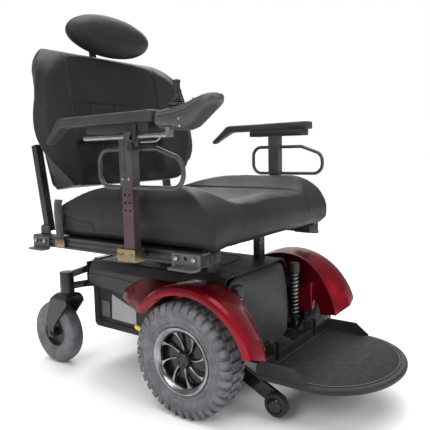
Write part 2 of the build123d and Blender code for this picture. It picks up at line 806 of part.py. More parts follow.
def caster_hub(name, side):
    x = side * CASTER_X
    half = CASTER_W / 2 - 8
    hub_y = SWIVEL_Y + TRAIL
    with BuildPart() as hub:
        rod(x - half, x + half, hub_y, CASTER_R, CASTER_HUB_R)
        for end in (-1, 1):
            rod(x + end * (half - 14), x + end * half, hub_y, CASTER_R, CASTER_HUB_R - 5, Mode.SUBTRACT)
        rod(x - half - 6, x + half + 6, hub_y, CASTER_R, 16)
        rod(x - half - 6, x + half + 6, hub_y, CASTER_R, CASTER_AXLE_R, Mode.SUBTRACT)
    save(hub, f"caster_hub_{name}")


# ---------------------------------------------------------------- footplate
def foot_bracket():
    front = FOOT_HINGE_Y - 12
    knuckle = 16
    with BuildPart() as bracket:
        for _, side in SIDES:
            x0 = side * (FOOT_HINGE_X - knuckle / 2)
            x1 = side * (FOOT_HINGE_X + knuckle / 2)
            block(x0, x1, front, BOX_FRONT_Y, FLOOR_Z, FLOOR_Z + 28)
            block(x0, x1, front, FOOT_HINGE_Y + 12, FLOOR_Z + 28, FOOT_HINGE_Z)
            rod(x0, x1, FOOT_HINGE_Y, FOOT_HINGE_Z, 12)
            rod(
                side * (FOOT_HINGE_X - 26),
                side * (FOOT_HINGE_X + 26),
                FOOT_HINGE_Y,
                FOOT_HINGE_Z,
                FOOT_PIN_R - RUN_FIT,
            )
        block(-FOOT_HINGE_X, FOOT_HINGE_X, BOX_FRONT_Y - 20, BOX_FRONT_Y, FLOOR_Z, FLOOR_Z + 28)
    save(bracket, "foot_bracket")


def foot_outline(inset):
    """D-shaped outline of the footplate, inset by a rim."""
    half = FOOT_HALF_W - inset
    rear = FOOT_REAR_Y - inset
    front = FOOT_FRONT_Y + inset
    with BuildSketch() as outline:
        with Locations((0, (rear + FOOT_MID_Y) / 2)):
            Rectangle(2 * half, rear - FOOT_MID_Y)
        with Locations((0, FOOT_MID_Y)):
            Ellipse(half, FOOT_MID_Y - front)
        with Locations((0, FOOT_REAR_Y + 500)):
            Rectangle(1000, 1000 + 2 * inset, mode=Mode.SUBTRACT)
    return outline.sketch


def footplate():
    top = FOOT_Z + FOOT_H
    flange_t = 7
    with BuildPart() as plate:
        with BuildSketch(Plane.XY.offset(FOOT_Z)):
            add(foot_outline(0))
        extrude(amount=FOOT_H)
        fillet(plate.faces().sort_by(Axis.Z)[-1].edges(), 7)
        fillet(plate.faces().sort_by(Axis.Z)[0].edges(), 7)
        with BuildSketch(Plane.XY.offset(top - MAT_DEPTH)):
            add(foot_outline(18))
        extrude(amount=MAT_DEPTH, mode=Mode.SUBTRACT)
        for _, side in SIDES:
            with BuildSketch(side_plane(side * (FOOT_HALF_W - flange_t - 4), side)):
                with BuildLine():
                    profile = [
                        (FOOT_REAR_Y + 4, top - 12),
                        (FOOT_REAR_Y + 4, FOOT_Z + FOOT_FLANGE_H - 12),
                        (FOOT_REAR_Y - 12, FOOT_Z + FOOT_FLANGE_H),
                        (FOOT_MID_Y + 34, FOOT_Z + FOOT_FLANGE_H),
                        (FOOT_MID_Y - 10, top + 3),
                        (FOOT_MID_Y - 10, top - 12),
                    ]
                    Polyline(*[(side * y, z) for y, z in profile], close=True)
                make_face()
            extrude(amount=flange_t)
            knuckle = 10
            near_x = FOOT_HINGE_X + 8 + GAP
            far_x = FOOT_HINGE_X - 8 - GAP
            for x0, x1 in ((near_x, near_x + knuckle), (far_x, far_x - knuckle)):
                span = (side * x0, side * x1)
                block(*span, -206, FOOT_HINGE_Y, top - 4, FOOT_HINGE_Z + 8)
                rod(*span, FOOT_HINGE_Y, FOOT_HINGE_Z, FOOT_PIN_R, Mode.SUBTRACT)
            block(side * (near_x + knuckle), side * (FOOT_HALF_W - 6), -206, -198, top - 6, top + 26)
        block(-far_x + knuckle, far_x - knuckle, -206, -198, top - 6, top + 26)
    save(plate, "footplate")


def foot_mat():
    top = FOOT_Z + FOOT_H
    with BuildPart() as mat:
        with BuildSketch(Plane.XY.offset(top - MAT_DEPTH)):
            add(foot_outline(22))
        extrude(amount=MAT_DEPTH)
    save(mat, "foot_mat")


# ---------------------------------------------------------------- seat frame and cushion
def seat_posts():
    base = RAIL_Z + RAIL_H
    top = SEAT_TOP_Z - PAN_T - CROSS_TUBE
    with BuildPart() as posts:
        for _, side in SIDES:
            front = (POST_FRONT_X, POST_FRONT_Y, base)
            rear = (POST_REAR_X, POST_REAR_Y, base + CROSS_W)
            for post_x, post_y, foot_z in (front, rear):
                x = side * post_x
                span = (post_y - POST_D / 2, post_y + POST_D / 2)
                block(x - POST_W / 2, x + POST_W / 2, *span, foot_z, top)
                wall_x = (x - POST_W / 2 + 4, x + POST_W / 2 - 4)
                block(*wall_x, span[0] + 4, span[1], foot_z, top, Mode.SUBTRACT)
                for row in range(3):
                    for column in (-1, 1):
                        place = (x + column * 10, span[0] + 2, top - 16 - 20 * row)
                        with Locations(Location(place, (90, 0, 0))):
                            Cylinder(POST_HOLE_R, 6, mode=Mode.SUBTRACT)
    save(posts, "seat_posts")


def back_pin():
    """Hinge of the backrest, in the middle of its canes."""
    return back_plane(-CANE_W / 2).origin


def seat_rails():
    groove = 3
    pivot_plate = 6
    pin = back_pin()
    with BuildPart() as rails:
        for _, side in SIDES:
            outer = side * SEAT_RAIL_X
            inner = side * (SEAT_RAIL_X - SEAT_RAIL_W)
            ends = (SEAT_RAIL_FRONT_Y, SEAT_RAIL_REAR_Y)
            block(inner, outer, *ends, SEAT_RAIL_Z, SEAT_TOP_Z)
            slot = side * (SEAT_RAIL_X - groove)
            block(slot, outer, ends[0] + 30, ends[1], SEAT_TOP_Z - 14, SEAT_TOP_Z - 8, Mode.SUBTRACT)
            block(slot, outer, ends[0] + 30, ends[1], SEAT_RAIL_Z + 8, SEAT_RAIL_Z + 14, Mode.SUBTRACT)
            end_in = side * (SEAT_RAIL_X - RAIL_END_W)
            block(end_in, inner, ends[0], ends[0] + 36, SEAT_RAIL_Z + 4, SEAT_TOP_Z - PAN_T - 2)
            hinge_x = (CANE_X + CANE_W / 2 + GAP, CANE_X + CANE_W / 2 + GAP + pivot_plate)
            plate_y = (pin.Y - 24, pin.Y + 24)
            block(side * hinge_x[0], side * hinge_x[1], *plate_y, SEAT_TOP_Z, pin.Z + 16)
            pin_x = (side * (CANE_X - CANE_W / 2 - 4), side * hinge_x[0])
            rod(*pin_x, pin.Y, pin.Z, BACK_PIN_R - RUN_FIT)
        corners = rails.edges().filter_by(Axis.X).group_by(Axis.Z)[-1]
        fillet(corners, 12)
    save(rails, "seat_rails")


def seat_pan():
    inner = SEAT_RAIL_X - SEAT_RAIL_W
    tube_z = (SEAT_TOP_Z - PAN_T - CROSS_TUBE, SEAT_TOP_Z - PAN_T)
    with BuildPart() as pan:
        block(-inner, inner, -70, 548, SEAT_TOP_Z - PAN_T, SEAT_TOP_Z)
        for tube_y in (POST_FRONT_Y, (POST_FRONT_Y + POST_REAR_Y) / 2, POST_REAR_Y):
            block(-inner, inner, tube_y - CROSS_TUBE / 2, tube_y + CROSS_TUBE / 2, *tube_z)
    save(pan, "seat_pan")


def tiedown_brackets():
    plate_t = 5
    with BuildPart() as brackets:
        for _, side in SIDES:
            for y0, y1 in TIEDOWN_SPANS:
                x0 = side * SEAT_RAIL_X
                x1 = side * (SEAT_RAIL_X + plate_t)
                middle = (y0 + y1) / 2
                block(x0, x1, y0, y1, SEAT_RAIL_Z - 4, SEAT_TOP_Z - 4)
                block(x0, side * (SEAT_RAIL_X + 34), y0 + 4, y1 - 4, SEAT_RAIL_Z - 10, SEAT_RAIL_Z - 4)
                with Locations((side * (SEAT_RAIL_X + 20), middle, SEAT_RAIL_Z - 7)):
                    Cylinder(8, 12, mode=Mode.SUBTRACT)
                rod(x0, x1, middle, SEAT_RAIL_Z + 20, 6, Mode.SUBTRACT)
        fillet(brackets.edges().filter_by(Axis.Z).group_by(Axis.X)[0], 10)
        fillet(brackets.edges().filter_by(Axis.Z).group_by(Axis.X)[-1], 10)
        for _, side in SIDES:
            head = side * (SEAT_RAIL_X + plate_t)
            for y0, y1 in TIEDOWN_SPANS:
                for y in (y0 + 20, y1 - 20):
                    rod(head, head + side * 6, y, SEAT_RAIL_Z + 20, 8)
    save(brackets, "tiedown_brackets")


def seat_cushion():
    half = CUSHION_HALF_W
    bottom = SEAT_TOP_Z
    with BuildPart() as cushion:
        with BuildSketch(Plane.XZ.offset(-CUSHION_FRONT_Y)):
            with BuildLine():
                Polyline(
                    (half - 24, bottom),
                    (-half + 24, bottom),
                    (-half, bottom + 26),
                    (-half, BOLSTER_Z - 46),
                )
                Spline(
                    (-half, BOLSTER_Z - 46),
                    (-half + 38, BOLSTER_Z),
                    (-half + 130, CUSHION_DIP_Z + 20),
                    (0, CUSHION_DIP_Z),
                    (half - 130, CUSHION_DIP_Z + 20),
                    (half - 38, BOLSTER_Z),
                    (half, BOLSTER_Z - 46),
                )
                Polyline((half, BOLSTER_Z - 46), (half, bottom + 26), (half - 24, bottom))
            make_face()
        extrude(amount=-(CUSHION_REAR_Y - CUSHION_FRONT_Y))
        with BuildSketch(Plane.YZ):
            with BuildLine():
                front, rear = CUSHION_FRONT_Y, CUSHION_REAR_Y
                Spline(
                    (front, bottom + 60),
                    (front + 22, bottom + 118),
                    (front + 90, BOLSTER_Z - 10),
                    (front + 190, BOLSTER_Z + 2),
                    (rear - 130, BOLSTER_Z - 30),
                    (rear, bottom + 100),
                )
                Polyline(
                    (rear, bottom + 100),
                    (rear, bottom - 5),
                    (front + 30, bottom - 5),
                    (front + 4, bottom + 20),
                    (front, bottom + 60),
                )
            make_face()
        extrude(amount=half, both=True, mode=Mode.INTERSECT)
    save(cushion, "seat_cushion")


def belt_straps():
    strap_t = 3
    with BuildPart() as straps:
        for _, side in SIDES:
            x0 = side * (CUSHION_HALF_W + 1)
            x1 = side * (CUSHION_HALF_W + 1 + strap_t)
            block(x0, x1, 468, 506, SEAT_RAIL_Z + 30, 645)
            block(side * SEAT_RAIL_X, side * (SEAT_RAIL_X + 8), 464, 510, SEAT_RAIL_Z + 6, SEAT_RAIL_Z + 32)
    save(straps, "belt_straps")


# ---------------------------------------------------------------- backrest and headrest
def back_frame():
    pin = back_pin()
    with BuildPart() as frame:
        with BuildSketch(back_plane(-CANE_W)):
            for _, side in SIDES:
                with Locations((side * CANE_X, (CANE_TOP_V - 8) / 2)):
                    Rectangle(CANE_W, CANE_TOP_V + 8)
        extrude(amount=CANE_W)
        with BuildSketch(back_plane(0)):
            with BuildLine():
                half = BACK_SHELL_HALF_W
                Polyline(
                    (-half + 20, BACK_BOTTOM_V + 12),
                    (half - 20, BACK_BOTTOM_V + 12),
                    (half, BACK_WIDE_V),
                    (half - 20, BACK_TOP_V - 40),
                    (-half + 20, BACK_TOP_V - 40),
                    (-half, BACK_WIDE_V),
                    close=True,
                )
            make_face()
            fillet(vertices(), 24)
        extrude(amount=BACK_SHELL_T)
        with BuildSketch(back_plane(-24)):
            with Locations((0, 540)):
                Rectangle(HEAD_BAR_W + 16, 60)
        extrude(amount=24)
        with BuildSketch(back_plane(-12 - HEAD_BAR_T / 2 - RUN_FIT)):
            with Locations((0, 540)):
                Rectangle(HEAD_BAR_W + 2 * RUN_FIT, 100)
        extrude(amount=HEAD_BAR_T + 2 * RUN_FIT, mode=Mode.SUBTRACT)
        for _, side in SIDES:
            pin_x = (side * (CANE_X - CANE_W), side * (CANE_X + CANE_W))
            rod(*pin_x, pin.Y, pin.Z, BACK_PIN_R, Mode.SUBTRACT)
    save(frame, "back_frame")


def back_outline(half):
    """One cross-section of the backrest cushion, from its right-hand edge points."""
    with BuildSketch() as outline:
        with BuildLine():
            Spline(*half, (0, BACK_TOP_V + 2), *[(-x, v) for x, v in reversed(half)])
            Line((-half[0][0], half[0][1]), half[0])
        make_face()
    return outline.sketch


def back_cushion():
    rear_edge = [
        (300, BACK_BOTTOM_V), (314, 225), (320, 312), (321, 400), (321, 500), (318, 585), (282, 644)
    ]
    front_edge = [
        (283, BACK_BOTTOM_V),
        (391, 225),
        (BACK_HALF_W, 320),
        (430, 400),
        (396, 500),
        (366, 585),
        (308, 646),
    ]
    with BuildPart() as cushion:
        with BuildSketch(back_plane(BACK_SHELL_T)):
            add(back_outline(rear_edge))
        with BuildSketch(back_plane(BACK_BOLSTER_T)):
            add(back_outline(front_edge))
        loft()
        trough = Plane(origin=back_plane(0, -50).origin, z_dir=back_plane().y_dir, x_dir=(1, 0, 0))
        with BuildSketch(trough):
            with BuildLine():
                wing = (BACK_HALF_W + 2, -BACK_BOLSTER_T + 30)
                Spline(
                    (-wing[0], wing[1]),
                    (-wing[0] + 70, -BACK_BOLSTER_T),
                    (-180, -BACK_PAD_T - 6),
                    (0, -BACK_PAD_T),
                    (180, -BACK_PAD_T - 6),
                    (wing[0] - 70, -BACK_BOLSTER_T),
                    wing,
                )
                far = -2 * BACK_BOLSTER_T
                Polyline(wing, (wing[0], far), (-wing[0], far), (-wing[0], wing[1]))
            make_face()
        extrude(amount=BACK_TOP_V + 100, mode=Mode.SUBTRACT)
        side_view = Plane(origin=back_plane().origin, x_dir=back_plane().z_dir, z_dir=(-1, 0, 0))
        with BuildSketch(side_view):
            with BuildLine():
                top = BACK_TOP_V
                curve = [(0, 2), (35, 4), (60, 18), (80, 38), (105, 75), (121, 120)]
                Spline(*[(n, top - drop) for n, drop in curve])
                Polyline((121, top - 120), (121, 100), (0, 100), (0, top - 2))
            make_face()
        extrude(amount=BACK_HALF_W + 10, both=True, mode=Mode.INTERSECT)
    save(cushion, "back_cushion")


def headrest_post():
    with BuildPart() as post:
        with BuildSketch(back_plane(-12 - HEAD_BAR_T / 2)):
            with Locations((0, (510 + HEAD_V) / 2)):
                Rectangle(HEAD_BAR_W, HEAD_V - 510 + 10)
        extrude(amount=HEAD_BAR_T)
        with BuildSketch(back_plane(-8, HEAD_V)):
            Rectangle(20, 20)
        extrude(amount=10)
        barrel = back_plane(2, HEAD_V).origin
        rod(-20, 20, barrel.Y, barrel.Z, HEAD_PIN_R - RUN_FIT)
        rod(-10, 10, barrel.Y, barrel.Z, 9)
    save(post, "headrest_post")


def headrest_pad():
    barrel = back_plane(2, HEAD_V).origin
    with BuildPart() as pad:
        for depth, share in ((-1, 0.5), (-0.6, 0.84), (0, 1), (0.6, 0.84), (1, 0.5)):
            with BuildSketch(back_plane(HEAD_N + depth * HEAD_HALF_T, HEAD_V)):
                Ellipse(HEAD_HALF_W * share ** 0.5, HEAD_HALF_H * share)
        loft()
        for _, side in SIDES:
            with BuildSketch(back_plane(-6, HEAD_V)):
                with Locations((side * 15, 0)):
                    Rectangle(8, 18)
            extrude(amount=HEAD_N - HEAD_HALF_T + 10)
        rod(-30, 30, barrel.Y, barrel.Z, HEAD_PIN_R, Mode.SUBTRACT)
    save(pad, "headrest_pad")


# ---------------------------------------------------------------- armrests
def arm_clamps():
    half_d = LOWER_POST_D / 2
    with BuildPart() as clamps:
        for _, side in SIDES:
            out_x = side * (ARM_X + LOWER_POST_W / 2 + 6)
            in_x = side * (ARM_X - LOWER_POST_W / 2 - 8)
            block(in_x, out_x, ARM_Y - half_d - 6, ARM_Y + half_d + 24, 484, 520)
            block(side * SEAT_RAIL_X, in_x, ARM_Y - 16, ARM_Y + 34, SEAT_RAIL_Z + 15, SEAT_TOP_Z - 15)
            with Locations((side * ARM_X, ARM_Y, 500)):
                Box(LOWER_POST_W, LOWER_POST_D, 60, mode=Mode.SUBTRACT)
    save(clamps, "arm_clamps")


def arm_sockets():
    with BuildPart() as sockets:
        for _, side in SIDES:
            middle = (484 + LOWER_POST_TOP_Z) / 2
            with Locations((side * ARM_X, ARM_Y, middle)):
                Box(LOWER_POST_W, LOWER_POST_D, LOWER_POST_TOP_Z - 484)
                Box(LOWER_POST_W - 6, LOWER_POST_D - 6, LOWER_POST_TOP_Z - 484, mode=Mode.SUBTRACT)
            for row in range(3):
                for column in (-1, 1):
                    rod(
                        side * (ARM_X - 20),
                        side * (ARM_X + 20),
                        ARM_Y + column * 9,
                        632 + 22 * row,
                        3.5,
                        Mode.SUBTRACT,
                    )
    save(sockets, "arm_sockets")


def arm_post(name, side):
    x = side * ARM_X
    out_x = side * (ARM_X + UPPER_POST_W / 2)
    with BuildPart() as post:
        with Locations((x, ARM_Y, (UPPER_POST_Z + ARM_PLATE_Z) / 2)):
            Box(UPPER_POST_W, UPPER_POST_D, ARM_PLATE_Z - UPPER_POST_Z)
            fillet(post.edges().filter_by(Axis.Z), 2)
            Box(
                LOWER_POST_W + 2 * SLIDE_FIT,
                LOWER_POST_D + 2 * SLIDE_FIT,
                ARM_PLATE_Z - UPPER_POST_Z,
                mode=Mode.SUBTRACT,
            )
        block(
            side * (PAD_IN_X - 20), side * (PAD_OUT_X - 10), -20, 217, ARM_PLATE_Z, ARM_PLATE_Z + PLATE_T
        )
        block(out_x, out_x - side * 1, ARM_Y - 2, ARM_Y + 2, 740, ARM_PLATE_Z - 10, Mode.SUBTRACT)
        for screw_y in (ARM_Y - 12, ARM_Y + 12):
            rod(out_x, out_x + side * 1.5, screw_y, 722, 4)
        if side < 0:
            block(TUBE_X - 13, TUBE_X + 13, 30, 62, TUBE_Z - 13, ARM_PLATE_Z)
            with Locations(Location((TUBE_X, CLAMP_Y, TUBE_Z), (90, 0, 0))):
                Cylinder(TUBE_R + RUN_FIT, 60, mode=Mode.SUBTRACT)
    save(post, f"arm_post_{name}")


def guard_loop(name, side):
    """Side-guard tube, in a front and a rear half that butt against the post."""
    plane = side_plane(side * (ARM_X + UPPER_POST_W / 2 - LOOP_INSET), side)
    corners = [(214, 698), (214, 805), (-10, 805), (-98, 774), (-103, 698)]
    with BuildPart() as loop:
        with BuildLine(plane) as route:
            FilletPolyline(*[(side * y, z) for y, z in corners], radius=38, close=True)
        with BuildSketch(Plane(origin=route.line @ 0, z_dir=route.line % 0)):
            Circle(LOOP_TUBE_R)
        sweep(path=route.line)
        with Locations((side * ARM_X, ARM_Y, 750)):
            Box(UPPER_POST_W, UPPER_POST_D, 200, mode=Mode.SUBTRACT)
    save(loop, f"guard_loop_{name}")


def arm_pad(name, side):
    bottom = PAD_TOP_Z - PAD_T
    with BuildPart() as pad:
        with BuildSketch(side_plane(side * PAD_IN_X, side)):
            with BuildLine():
                profile = [
                    (PAD_FRONT_Y, bottom),
                    (PAD_FRONT_Y, PAD_TOP_Z),
                    (PAD_BREAK_Y, PAD_TOP_Z - 4),
                    (PAD_TAIL_Y, PAD_TOP_Z - PAD_TAIL_DROP),
                    (PAD_TAIL_Y - 8, PAD_TOP_Z - PAD_TAIL_DROP - 14),
                    (PAD_BREAK_Y - 14, bottom),
                ]
                Polyline(*[(side * y, z) for y, z in profile], close=True)
            make_face()
        extrude(amount=PAD_OUT_X - PAD_IN_X)
        with BuildSketch(Plane.XY.offset(bottom - PAD_TAIL_DROP)):
            with BuildLine():
                plan = [
                    (PAD_IN_X, PAD_FRONT_Y),
                    (PAD_OUT_X, PAD_FRONT_Y),
                    (PAD_OUT_X, PAD_BREAK_Y - 55),
                    (PAD_TAIL_OUT_X, PAD_TAIL_Y),
                    (PAD_IN_X, PAD_TAIL_Y),
                ]
                Polyline(*[(side * x, y) for x, y in plan], close=True)
            make_face()
        extrude(amount=PAD_T + PAD_TAIL_DROP + 20, mode=Mode.INTERSECT)
        fillet(pad.edges().filter_by(Axis.Z), 8)
        fillet(pad.faces().sort_by(Axis.Z)[-1].edges().filter_by(Axis.X), 4)
    save(pad, f"arm_pad_{name}")


# ---------------------------------------------------------------- controller
def controller_bracket():
    front = POD_REAR_Y - 40
    with BuildPart() as bracket:
        with Locations(Location((TUBE_X, (230 + front) / 2, TUBE_Z), (90, 0, 0))):
            Cylinder(TUBE_R, 230 - front)
        block(TUBE_X - 8, TUBE_X + 8, front - 12, front, TUBE_Z - 6, POD_SEAT_Z)
    save(bracket, "controller_bracket")


def clamp_lever():
    with BuildPart() as lever:
        with Locations((TUBE_X, CLAMP_Y, TUBE_Z - 25)):
            Cylinder(9, 22)
        block(TUBE_X - 4, TUBE_X + 4, CLAMP_Y - 36, CLAMP_Y, TUBE_Z - 34, TUBE_Z - 26)
    save(lever, "clamp_lever")


def pod_profile(inset):
    """Side view of the hand controller: a deep rear foot sweeping up to a rounded nose."""
    with BuildSketch() as side_view:
        with BuildLine():
            Spline(
                (POD_REAR_Y - inset, 858 + inset),
                (-100, 848 + inset),
                (-146, 846 + inset),
                (-172, 868 + inset),
                (-204, 898 + inset),
                (POD_FRONT_Y + inset, 916),
            )
            Spline(
                (POD_FRONT_Y + inset, 916),
                (-221, 934 - inset),
                (-190, 932 - inset),
                (-134, 916 - inset),
                (-100, 908 - inset),
                (POD_REAR_Y - inset, 902 - inset),
            )
            Line((POD_REAR_Y - inset, 902 - inset), (POD_REAR_Y - inset, 858 + inset))
        make_face()
    return side_view.sketch


def controller_pod():
    with BuildPart() as pod:
        with BuildSketch(Plane.YZ.offset(POD_X)):
            add(pod_profile(0))
        extrude(amount=POD_HALF_W, both=True)
        with BuildSketch(Plane.XY.offset(940)):
            with Locations((POD_X, (POD_REAR_Y + POD_FRONT_Y) / 2)):
                length = POD_REAR_Y - POD_FRONT_Y
                RectangleRounded(2 * POD_HALF_W, length, POD_HALF_W - 4)
            with Locations((POD_X, POD_REAR_Y - 40)):
                Rectangle(2 * POD_HALF_W - 8, 80)
        extrude(amount=-110, mode=Mode.INTERSECT)
        with Locations((POD_X, STICK_Y, STICK_Z)):
            Cylinder(20, 60, align=(Align.CENTER, Align.CENTER, Align.CENTER), mode=Mode.SUBTRACT)
        block(POD_X - 40, POD_X + 40, POD_REAR_Y - 52, POD_REAR_Y, 820, POD_SEAT_Z, Mode.SUBTRACT)
        for offset in (-14, 14):
            with Locations((POD_X + offset, -160, 920)):
                Cylinder(5.3, 24, mode=Mode.SUBTRACT)
    save(pod, "controller_pod")


def gimbal_ring():
    with BuildPart() as ring:
        with Locations((POD_X, STICK_Y, STICK_Z - 8)):
            Cylinder(15, 6)
            Cylinder(10, 6, mode=Mode.SUBTRACT)
        rod(POD_X - 19.8, POD_X - 14, STICK_Y, STICK_Z - 8, 2)
        rod(POD_X + 14, POD_X + 19.8, STICK_Y, STICK_Z - 8, 2)
    save(ring, "gimbal_ring")


def joystick():
    base = STICK_Z - 8
    with BuildPart() as stick:
        with BuildSketch(Plane.XZ.offset(-STICK_Y)):
            with BuildLine():
                Polyline(
                    (POD_X, base - 6),
                    (POD_X + 5, base - 6),
                    (POD_X + 5, base + 34),
                    (POD_X + 10, base + 38),
                    (POD_X + 8, base + 58),
                    (POD_X + 11, base + 64),
                    (POD_X + 9, base + 68),
                    (POD_X, base + 70),
                    close=True,
                )
            make_face()
        revolve(axis=Axis((POD_X, STICK_Y, 0), (0, 0, 1)))
        with Locations(Location((POD_X, STICK_Y, base), (90, 0, 0))):
            Cylinder(1.9, 19)
    save(stick, "joystick")


def push_button(name, x_offset):
    with BuildPart() as button:
        with Locations((POD_X + x_offset, -160, 918)):
            Cylinder(5, 14)
        fillet(button.edges().group_by(Axis.Z)[-1], 1.5)
    save(button, name)


for side_name, direction in SIDES:
    drive_tyre(side_name, direction)
    drive_rim(side_name, direction)
    freewheel_lever(side_name, direction)
    fender(side_name, direction)
    shock_spring(side_name, direction)
    shock_rod(side_name, direction)
    antitip_arm(side_name, direction)
    antitip_wheel(side_name, direction)
    caster_fork(side_name, direction)
    caster_tyre(side_name, direction)
    caster_hub(side_name, direction)
    arm_post(side_name, direction)
    guard_loop(side_name, direction)
    arm_pad(side_name, direction)

base_frame()
battery_tray()
batteries()
power_module()
drive_motors()
rear_shroud()
front_shroud()
tail_lenses()
shock_bodies()
caster_arms()
foot_bracket()
footplate()
foot_mat()
seat_posts()
seat_rails()
seat_pan()
tiedown_brackets()
seat_cushion()
belt_straps()
back_frame()
back_cushion()
headrest_post()
headrest_pad()
arm_clamps()
arm_sockets()
controller_bracket()
clamp_lever()
controller_pod()
gimbal_ring()
joystick()
push_button("power_button", -14)
push_button("horn_button", 14)
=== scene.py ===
import json
from math import cos, pi, radians, sin

import bpy
import numpy as np
from mathutils import Matrix, Vector


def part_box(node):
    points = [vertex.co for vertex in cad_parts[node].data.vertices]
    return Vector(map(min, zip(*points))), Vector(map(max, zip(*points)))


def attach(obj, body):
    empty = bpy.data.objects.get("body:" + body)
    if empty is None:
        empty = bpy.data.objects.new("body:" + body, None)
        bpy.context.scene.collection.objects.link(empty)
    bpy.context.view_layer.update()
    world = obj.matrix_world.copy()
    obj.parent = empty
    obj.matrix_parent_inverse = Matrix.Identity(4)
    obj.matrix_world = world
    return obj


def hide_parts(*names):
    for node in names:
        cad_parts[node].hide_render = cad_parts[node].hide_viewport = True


bl_info = {
    "name": "Power Wheelchair",
    "version": (1, 0, 0),
    "blender": (4, 5, 0),
    "location": "3D View > Sidebar > Wheelchair",
    "description": "Upholstery, wheels, covers and finishes for a heavy-duty power wheelchair",
    "category": "Object",
}

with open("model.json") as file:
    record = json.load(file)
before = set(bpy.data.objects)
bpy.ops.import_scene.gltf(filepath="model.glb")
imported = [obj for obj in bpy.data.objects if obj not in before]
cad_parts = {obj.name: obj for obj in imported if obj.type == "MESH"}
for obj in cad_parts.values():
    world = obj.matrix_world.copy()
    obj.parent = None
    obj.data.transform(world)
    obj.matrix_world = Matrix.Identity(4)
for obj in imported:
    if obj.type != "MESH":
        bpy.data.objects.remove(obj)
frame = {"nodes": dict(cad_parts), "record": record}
NODES = frame["nodes"]
SLOT_OF = {part["node"]: part["material_slot"] for part in frame["record"]["subparts"]}
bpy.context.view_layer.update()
SIDES = (("right", -1), ("left", 1))


def middle(node):
    """Centre of a CAD node's box, in metres."""
    low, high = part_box(node)
    return (low + high) / 2


AXLE = middle("drive_tyre_left")
CASTER = middle("caster_tyre_left")
TIP = middle("antitip_wheel_left")
BACK_LEAN = radians(9)
BACK_FOOT_Y, BACK_FOOT_Z = 590, 535  # millimetres from the axle, where the backrest starts


def at(x, y, z):
    """Point in metres from millimetres: x and z as in the frame, y from the drive axle."""
    return Vector((x / 1000, y / 1000 + AXLE.y, z / 1000))


# ------------------------------------------------------------------ modelling tools
def only(obj):
    bpy.ops.object.select_all(action="DESELECT")
    obj.select_set(True)
    bpy.context.view_layer.objects.active = obj


def edit(obj):
    only(obj)
    bpy.ops.object.mode_set(mode="EDIT")
    bpy.ops.mesh.select_all(action="SELECT")


def close(obj, weld=0.00001):
    """Merges doubles, points the faces outwards and leaves edit mode."""
    bpy.ops.mesh.select_all(action="SELECT")
    bpy.ops.mesh.remove_doubles(threshold=weld)
    bpy.ops.mesh.normals_make_consistent(inside=False)
    bpy.ops.object.mode_set(mode="OBJECT")


def smooth(obj, angle=35):
    only(obj)
    bpy.ops.object.shade_smooth_by_angle(angle=radians(angle))


def rounded(obj, width, segments=2, angle=35):
    """Rounds the piece's sharp edges, in metres, and shades it."""
    if width:
        only(obj)
        soften = obj.modifiers.new("Rounding", "BEVEL")
        soften.width = width
        soften.segments = segments
        soften.limit_method = "ANGLE"
        soften.angle_limit = radians(angle)
        bpy.ops.object.modifier_apply(modifier=soften.name)
    smooth(obj, 50)


def block(name, low, high, width=0.001):
    low, high = Vector(low), Vector(high)
    bpy.ops.object.select_all(action="DESELECT")
    bpy.ops.mesh.primitive_cube_add(size=1, location=(low + high) / 2)
    obj = bpy.context.object
    obj.name = name
    obj.scale = [abs(a - b) for a, b in zip(low, high)]
    bpy.ops.object.transform_apply(location=True, rotation=True, scale=True)
    rounded(obj, width)
    return obj


def outline(name, corners, fill):
    bpy.ops.object.select_all(action="DESELECT")
    bpy.ops.mesh.primitive_circle_add(vertices=len(corners), fill_type=fill)
    obj = bpy.context.object
    obj.name = name
    for vertex, corner in zip(obj.data.vertices, corners):
        vertex.co = corner
    return obj


def plate(name, corners, push, width=0.0008, segments=2):
    """Flat plate: a face with these corners, extruded by the vector push."""
    obj = outline(name, corners, "NGON")
    edit(obj)
    bpy.ops.mesh.extrude_region_move(TRANSFORM_OT_translate={"value": push})
    close(obj)
    rounded(obj, width, segments)
    return obj


def lathe(name, section, centre, side=1, steps=64, axis=(1, 0, 0), angle=40):
    """Ring turned from a closed section of (offset along the axis, radius) in millimetres."""
    centre, axis = Vector(centre), Vector(axis)
    across = Vector((0, 0, 1)) if abs(axis.z) < 0.5 else Vector((1, 0, 0))
    corners = [centre + axis * (side * o / 1000) + across * (r / 1000) for o, r in section]
    obj = outline(name, corners, "NOTHING")
    edit(obj)
    bpy.ops.mesh.spin(steps=steps, angle=2 * pi, center=centre, axis=axis)
    close(obj)
    smooth(obj, angle)
    return obj


def tube(name, points, radius, cyclic=False, order=3):
    """Round bar along a smooth line through points in metres."""
    curve = bpy.data.curves.new(name, "CURVE")
    curve.dimensions = "3D"
    curve.bevel_depth = radius
    curve.bevel_resolution = 3
    curve.use_fill_caps = True
    line = curve.splines.new("NURBS")
    line.points.add(len(points) - 1)
    for knot, point in zip(line.points, points):
        knot.co = (*point, 1)
    line.order_u = order
    line.use_cyclic_u = cyclic
    line.use_endpoint_u = not cyclic
    obj = bpy.data.objects.new(name, curve)
    bpy.context.scene.collection.objects.link(obj)
    only(obj)
    bpy.ops.object.convert(target="MESH")
    smooth(obj, 60)
    return obj


